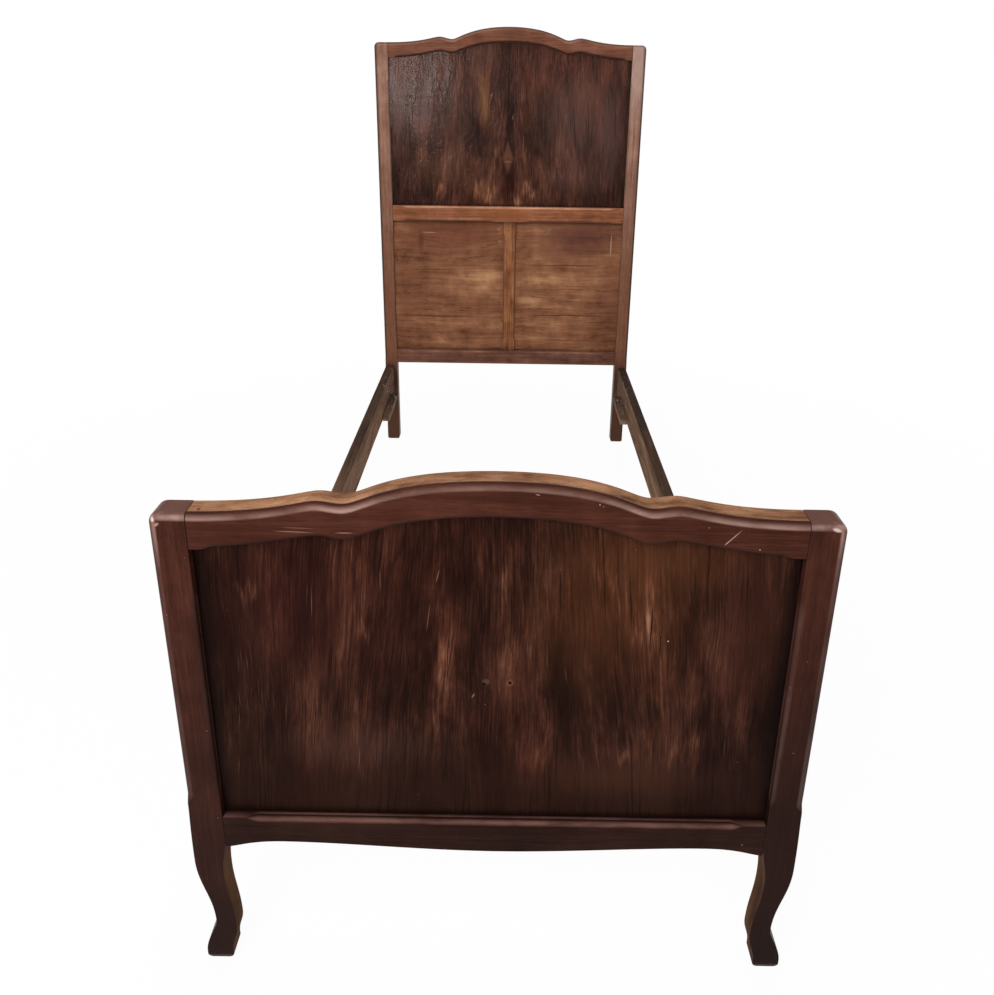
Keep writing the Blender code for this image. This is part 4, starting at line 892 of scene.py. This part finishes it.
def faded_veneer(name):
    finish = Finish(name)
    wavy = finish.wander("Z", (3, 1, 6), 0.035)
    clouds = finish.noise((3.5, 1, 7), detail=4, rough=0.6, twist=0.6)
    bands = finish.noise((2.4, 1, 36), detail=6, rough=0.66, place=wavy)
    lines = finish.noise((7, 1, 150), detail=4, rough=0.66, place=wavy)
    fibres = finish.noise((26, 1, 520), rough=0.6, place=wavy)
    mottle = finish.noise((24, 1, 22), detail=4, rough=0.62, place=wavy)
    figure = clouds * 0.30 + bands * 0.28 + lines * 0.16 + fibres * 0.06 + mottle * 0.20
    for place, size, strength in faded_patches:
        figure = figure + finish.spot(place, size, core=0.0) * strength
    shades = (78, 45, 30), (116, 74, 51), (140, 94, 67), (178, 132, 94)
    colour = figure.tones((0.38, 0.46, 0.53, 0.63), shades)
    for place, size, shade, strength in faded_zones:
        colour = colour.stained(finish.spot(place, size, core=0.1) * strength, shade)
    veins = abs(finish.noise((1.8, 1, 15), detail=4, rough=0.55, place=wavy) - 0.48).band(0.008, 0.0)
    veins = veins * clouds.band(0.60, 0.46)
    colour = colour.stained(veins * 0.60, (62, 35, 24))
    cracks = abs(finish.noise((30, 1, 9), detail=4, rough=0.6) - 0.47).band(0.010, 0.0)
    cracks = cracks * finish.spot((-0.118, 0.700), (0.045, 0.060), core=0.2)
    colour = colour.stained(cracks * 0.75, (40, 22, 16))
    pores = finish.noise((30, 1, 600), detail=1, place=wavy).band(0.60, 0.70)
    colour = colour.stained(pores * 0.30, (60, 34, 24))
    bent = finish.wander("Z", (7, 1, 2), 0.016)
    for place, size, shade, *turn in faded_lines:
        line = finish.spot(place, size, *turn, swayed=bent if size[0] > 0.1 else None)
        colour = colour.stained(line * 0.7, shade)
    height = finish.place.axis("Z")
    # Painted shade along the panels' bottom over the bottom rail and their top under the mid rail.
    edges = height.band(LOW_RAIL_TOP + 0.012, LOW_RAIL_TOP).math(
        "MAXIMUM", height.band(MID_RAIL_BOTTOM - 0.016, MID_RAIL_BOTTOM - 0.001))
    colour = colour.stained(edges * 0.55, (56, 32, 22))
    behind = bare_back(finish, HEAD_FRONT)
    plain = clouds * 0.40 + bands * 0.30 + lines * 0.20 + fibres * 0.10
    plain = plain.tones((0.40, 0.50, 0.60), ((78, 50, 35), (96, 65, 46), (116, 82, 60)))
    colour = colour.covered(behind, plain)
    roughness = fibres * 0.2 + clouds * 0.2 + behind * 0.2 + 0.28
    relief = fibres * 0.3 - cracks * 0.6 - veins * 0.5 + mottle * 1.2
    return finish.lay(colour, roughness, relief, 0.08, (1.0, 0.84, 0.76))


level_veneer = faded_veneer("level_grain_veneer")
for word in SIDES:
    dress(f"headboard_lower_{word}_panel", level_veneer)


# Side rails and sommier cleats. Plain boards set on edge, left unpolished and greyed by dust, with short
# ledges screwed low on their inner faces to carry the corners of the sommier.
RAIL_BOTTOM, RAIL_TOP, CLEAT_TOP = 0.189, 0.284, 0.209
ENDS = {"foot": -1, "head": 1}


def dusty_board(name, top, shades, dark_from):
    """Unpolished wood, its top darker from a place on, with dirt and pale drips near the head."""
    finish = Finish(name)
    clouds = finish.noise((16, 3.5, 16), detail=4, rough=0.6, twist=0.8)
    streaks = finish.noise((110, 5, 110), detail=5, rough=0.64, twist=0.4)
    fibres = finish.noise((600, 16, 600), rough=0.6)
    figure = clouds * 0.48 + streaks * 0.34 + fibres * 0.18
    colour = figure.tones((0.38, 0.47, 0.55, 0.66), shades)
    height, far = finish.place.axis("Z"), finish.place.axis("Y")
    darker_top = height.band(top - 0.006, top - 0.001) * clouds.band(0.30, 0.55, 0.6, 1.0)
    colour = colour.stained(darker_top * far.band(dark_from, dark_from + 0.6, 0.4, 0.9), (28, 23, 23))
    arris = height.band(RAIL_BOTTOM + 0.004, RAIL_BOTTOM) * streaks.band(0.40, 0.60)
    colour = colour.stained(arris * 0.4, (146, 120, 98))
    pores = finish.noise((1100, 42, 1100), detail=1).band(0.60, 0.70)
    colour = colour.stained(pores * 0.4, (38, 27, 21))
    smudge = far.band(0.74, 0.95) * clouds.band(0.44, 0.56, 0.3, 1.0)
    colour = colour.stained(smudge * 0.45, (36, 28, 25))
    drips = finish.noise((150, 46, 150), detail=3, rough=0.6).band(0.60, 0.68) * far.band(0.55, 0.80)
    drips = drips * abs(finish.place.axis("X")).band(0.410, 0.403)
    colour = colour.stained(drips * 0.75, (178, 162, 148))
    roughness = fibres * 0.2 + clouds * 0.2 + 0.60
    relief = fibres * 0.5 - pores * 0.5 + streaks * 0.5
    return finish.lay(colour, roughness, relief, 0.04, POLISH_WARMTH)


RAIL_SHADES = (66, 47, 34), (110, 82, 63), (136, 105, 83), (176, 144, 116)
CLEAT_SHADES = (76, 58, 47), (124, 98, 81), (150, 122, 102), (184, 156, 134)
cleat_wood = dusty_board("cleat_wood", CLEAT_TOP, CLEAT_SHADES, 0.4)
for word, dark_from in (("left", -0.2), ("right", -0.9)):
    dress(f"{word}_side_rail", dusty_board(f"grey_brown_wood_{word}", RAIL_TOP, RAIL_SHADES, dark_from))
    for end in ENDS:
        dress(f"{word}_{end}_cleat", cleat_wood)


# Iron fittings. Forged plates let into the posts, slotted to take the hooks of the plates in the rail ends,
# left dark from the forge and rusty in patches.
def forged_iron(name):
    finish = Finish(name)
    scale = finish.noise((160, 160, 160), detail=5, rough=0.65)
    rust = finish.noise((45, 45, 45), detail=5, rough=0.7).band(0.52, 0.66)
    colour = scale.tones((0.35, 0.65), ((44, 40, 38), (82, 76, 72))).stained(rust * 0.7, (96, 56, 36))
    finish.feed(Metallic=rust.band(0.0, 1.0, 0.9, 0.25))
    return finish.lay(colour, scale * 0.3 + rust * 0.3 + 0.35, scale * 0.6 + rust * 0.5, 0.5)


iron = forged_iron("forged_iron")
for word in SIDES:
    for end in ENDS:
        for kind in ("post", "hook"):
            dress(f"{word}_{end}_{kind}_plate", iron)


# Screws. Slotted countersunk iron screws, three through each cleat into its rail, and one at the top and
# bottom of each post plate, driven flush by hand so that every slot lies its own way.
HEAD_RADIUS, HEAD_HEIGHT, SLOT_WIDTH, SLOT_DEPTH = 0.0036, 0.0006, 0.0009, 0.0005
PLATE_SCREW_MARGIN = 0.0062  # from a plate's end to a screw


def screw_tree():
    """Nodes that set a slotted screw head on every point, facing the way that the point's mark says."""
    tree = bpy.data.node_groups.new("screw_heads", "GeometryNodeTree")
    for name, way, kind in (("Places", "INPUT", "Geometry"), ("Head radius", "INPUT", "Float"),
                            ("Head height", "INPUT", "Float"), ("Slot width", "INPUT", "Float"),
                            ("Slot depth", "INPUT", "Float"), ("Seed", "INPUT", "Int"),
                            ("Iron", "INPUT", "Material"), ("Screws", "OUTPUT", "Geometry")):
        tree.interface.new_socket(name, in_out=way, socket_type="NodeSocket" + kind)

    def add(kind, inputs=None, output=0, **settings):
        return add_node(tree, kind, inputs, **settings).outputs[output]

    def times(value, factor):
        return add("ShaderNodeMath", {0: value, 1: factor}, operation="MULTIPLY")

    given = tree.nodes.new("NodeGroupInput").outputs
    head = add("GeometryNodeMeshCylinder", {"Vertices": 24, "Radius": given["Head radius"],
                                            "Depth": given["Head height"]}, "Mesh", fill_type="NGON")
    size = add("ShaderNodeCombineXYZ", {"X": times(given["Head radius"], 3.0), "Y": given["Slot width"],
                                        "Z": times(given["Slot depth"], 2.0)})
    blade = add("GeometryNodeMeshCube", {"Size": size}, "Mesh")
    lift = add("ShaderNodeCombineXYZ", {"Z": times(given["Head height"], 0.5)})
    raised = add("GeometryNodeTransform", {"Geometry": blade, "Translation": lift})
    cut = add("GeometryNodeMeshBoolean", {0: head, 1: raised}, operation="DIFFERENCE")
    facing = add("GeometryNodeInputNamedAttribute", {"Name": "facing"}, data_type="FLOAT_VECTOR")
    aimed = add("FunctionNodeAlignRotationToVector", {"Vector": facing}, axis="Z")
    spin = add("FunctionNodeRandomValue", {"Min": (0, 0, 0), "Max": (0, 0, pi), "Seed": given["Seed"]},
               data_type="FLOAT_VECTOR")
    driven = add("FunctionNodeRotateRotation", {0: aimed, 1: add("FunctionNodeEulerToRotation", {0: spin})},
                 rotation_space="LOCAL")
    points = add("GeometryNodeMeshToPoints", {"Mesh": given["Places"]})
    heads = add("GeometryNodeInstanceOnPoints", {"Points": points, "Instance": cut, "Rotation": driven})
    solid = add("GeometryNodeRealizeInstances", {0: heads})
    painted = add("GeometryNodeSetMaterial", {"Geometry": solid, "Material": given["Iron"]})
    add_node(tree, "NodeGroupOutput", {"Screws": painted})
    return tree


def drive_screws(name, places, tree, body, seed):
    """Screw heads at (place, facing) pairs as one plain mesh."""
    seat = bpy.data.meshes.new(name + "_places")
    seat.from_pydata([place for place, _ in places], [], [])
    mark = seat.attributes.new("facing", "FLOAT_VECTOR", "POINT")
    mark.data.foreach_set("vector", [part for _, facing in places for part in facing])
    seated = put(name + "_places", seat)
    modifier = seated.modifiers.new("screws", "NODES")
    modifier.node_group = tree
    sizes = {"Head radius": HEAD_RADIUS, "Head height": HEAD_HEIGHT, "Slot width": SLOT_WIDTH,
             "Slot depth": SLOT_DEPTH, "Seed": seed, "Iron": iron}
    for item in tree.interface.items_tree:
        if item.name in sizes:
            modifier[item.identifier] = sizes[item.name]
    depsgraph = bpy.context.evaluated_depsgraph_get()
    mesh = bpy.data.meshes.new_from_object(seated.evaluated_get(depsgraph))
    bpy.data.objects.remove(seated)
    mesh.name = name
    made = put(name, mesh)
    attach(made, body)


def plate_screws(node, toward):
    low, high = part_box(node)
    face = high.y if toward > 0 else low.y
    middle = (low.x + high.x) / 2
    return [((middle, face - toward * HEAD_HEIGHT * 0.4, z), (0, toward, 0))
            for z in (low.z + PLATE_SCREW_MARGIN, high.z - PLATE_SCREW_MARGIN)]


tree = screw_tree()
post_places = []
for seed, (word, side) in enumerate(SIDES.items()):
    rail_places = []
    for end, toward in ENDS.items():
        low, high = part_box(f"{word}_{end}_cleat")
        inner = low.x if side > 0 else high.x
        for share in (0.12, 0.5, 0.88):
            rail_places.append(((inner + side * HEAD_HEIGHT * 0.35, low.y + share * (high.y - low.y),
                                 (low.z + high.z) / 2), (-side, 0, 0)))
        post_places += plate_screws(f"{word}_{end}_post_plate", -toward)
    drive_screws(f"{word}_rail_screws", rail_places, tree, f"{word}_rail", seed)
drive_screws("post_plate_screws", post_places, tree, "bed_ends", 7)


# Room. A plain white floor that keeps a faint shadow, soft light from above and from the front, and a camera
# a little above the footboard, looking down along the bed.
def seen_directly(tree):
    """1 for rays that show a surface itself, in a view, a gloss or a glass."""
    path = tree.nodes.new("ShaderNodeLightPath").outputs
    total = path["Is Camera Ray"]
    for name in ("Is Glossy Ray", "Is Transmission Ray"):
        total = add_node(tree, "ShaderNodeMath", {0: total, 1: path[name]}, operation="MAXIMUM").outputs[0]
    return total


floor_mesh = bpy.data.meshes.new("floor")
floor_mesh.from_pydata([(-30, -30, 0), (30, -30, 0), (30, 30, 0), (-30, 30, 0)], [], [(0, 1, 2, 3)])
floor = put("floor", floor_mesh)
paper = bpy.data.materials.new("white_floor")
paper.use_nodes = True
tree = paper.node_tree
tree.nodes.clear()
spot = add_node(tree, "ShaderNodeTexCoord").outputs["Object"]
far = add_node(tree, "ShaderNodeVectorMath", {0: spot}, operation="LENGTH").outputs["Value"]
fade = add_node(tree, "ShaderNodeMapRange", {"Value": far, "From Min": 0.6, "From Max": 2.4, "To Min": 0.94,
                                             "To Max": 1.0}).outputs[0]
share = add_node(tree, "ShaderNodeMath", {0: seen_directly(tree), 1: fade}, operation="MULTIPLY").outputs[0]
matt = add_node(tree, "ShaderNodeBsdfDiffuse", {"Color": (0.8, 0.8, 0.8, 1)}).outputs[0]
glow = add_node(tree, "ShaderNodeEmission").outputs[0]
both = add_node(tree, "ShaderNodeMixShader", {0: share, 1: matt, 2: glow}).outputs[0]
add_node(tree, "ShaderNodeOutputMaterial", {"Surface": both})
floor_mesh.materials.append(paper)

world = bpy.data.worlds.new("white_room")
bpy.context.scene.world = world
world.use_nodes = True
tree = world.node_tree
background = tree.nodes["Background"].inputs
background["Color"].default_value = (1, 1, 1, 1)
strength = add_node(tree, "ShaderNodeMapRange", {"Value": seen_directly(tree), "To Min": 0.42}).outputs[0]
tree.links.new(strength, background["Strength"])


def soft_lamp(name, place, aim, width, depth, power):
    lamp = bpy.data.lights.new(name, "AREA")
    lamp.shape = "RECTANGLE"
    lamp.size, lamp.size_y, lamp.energy = width, depth, power
    hung = put(name, lamp)
    hung.location = place
    hung.rotation_euler = (Vector(aim) - Vector(place)).to_track_quat("-Z", "Y").to_euler()


soft_lamp("front_lamp", (-1.6, -3.6, 3.6), (0, -0.4, 0.5), 1.8, 1.4, 85)
soft_lamp("overhead_lamp", (0, 0.2, 3.6), (0, 0.2, 0), 2.0, 2.6, 60)
soft_lamp("window_lamp", (-0.85, -3.2, 1.22), (-0.1, 1.0, 1.1), 0.45, 0.5, 22)

FOCAL, MIDDLE_X, MIDDLE_Y = 878.39, 504.23, 400.0  # in pixels of the photograph
PHOTO_WIDTH, PHOTO_HEIGHT = 994, 995
EYE = Vector((0.01124, -1.97772, 1.25733))
yaw, pitch, roll = radians(-0.2995), radians(20.355), radians(-0.757)
ahead = Vector((sin(yaw) * cos(pitch), cos(yaw) * cos(pitch), -sin(pitch)))
across = Vector((cos(yaw), -sin(yaw), 0))
down = ahead.cross(across)
right = cos(roll) * across + sin(roll) * down
under = cos(roll) * down - sin(roll) * across
lens = bpy.data.cameras.new("camera")
lens.sensor_width = 36
lens.lens = lens.sensor_width * FOCAL / PHOTO_HEIGHT
lens.shift_x = (PHOTO_WIDTH / 2 - MIDDLE_X) / PHOTO_HEIGHT
lens.shift_y = (MIDDLE_Y - PHOTO_HEIGHT / 2) / PHOTO_HEIGHT
camera = put("camera", lens)
camera.matrix_world = Matrix.Translation(EYE) @ Matrix((right, -under, -ahead)).transposed().to_4x4()
bpy.context.scene.camera = camera
bpy.context.scene.view_settings.view_transform = "Standard"
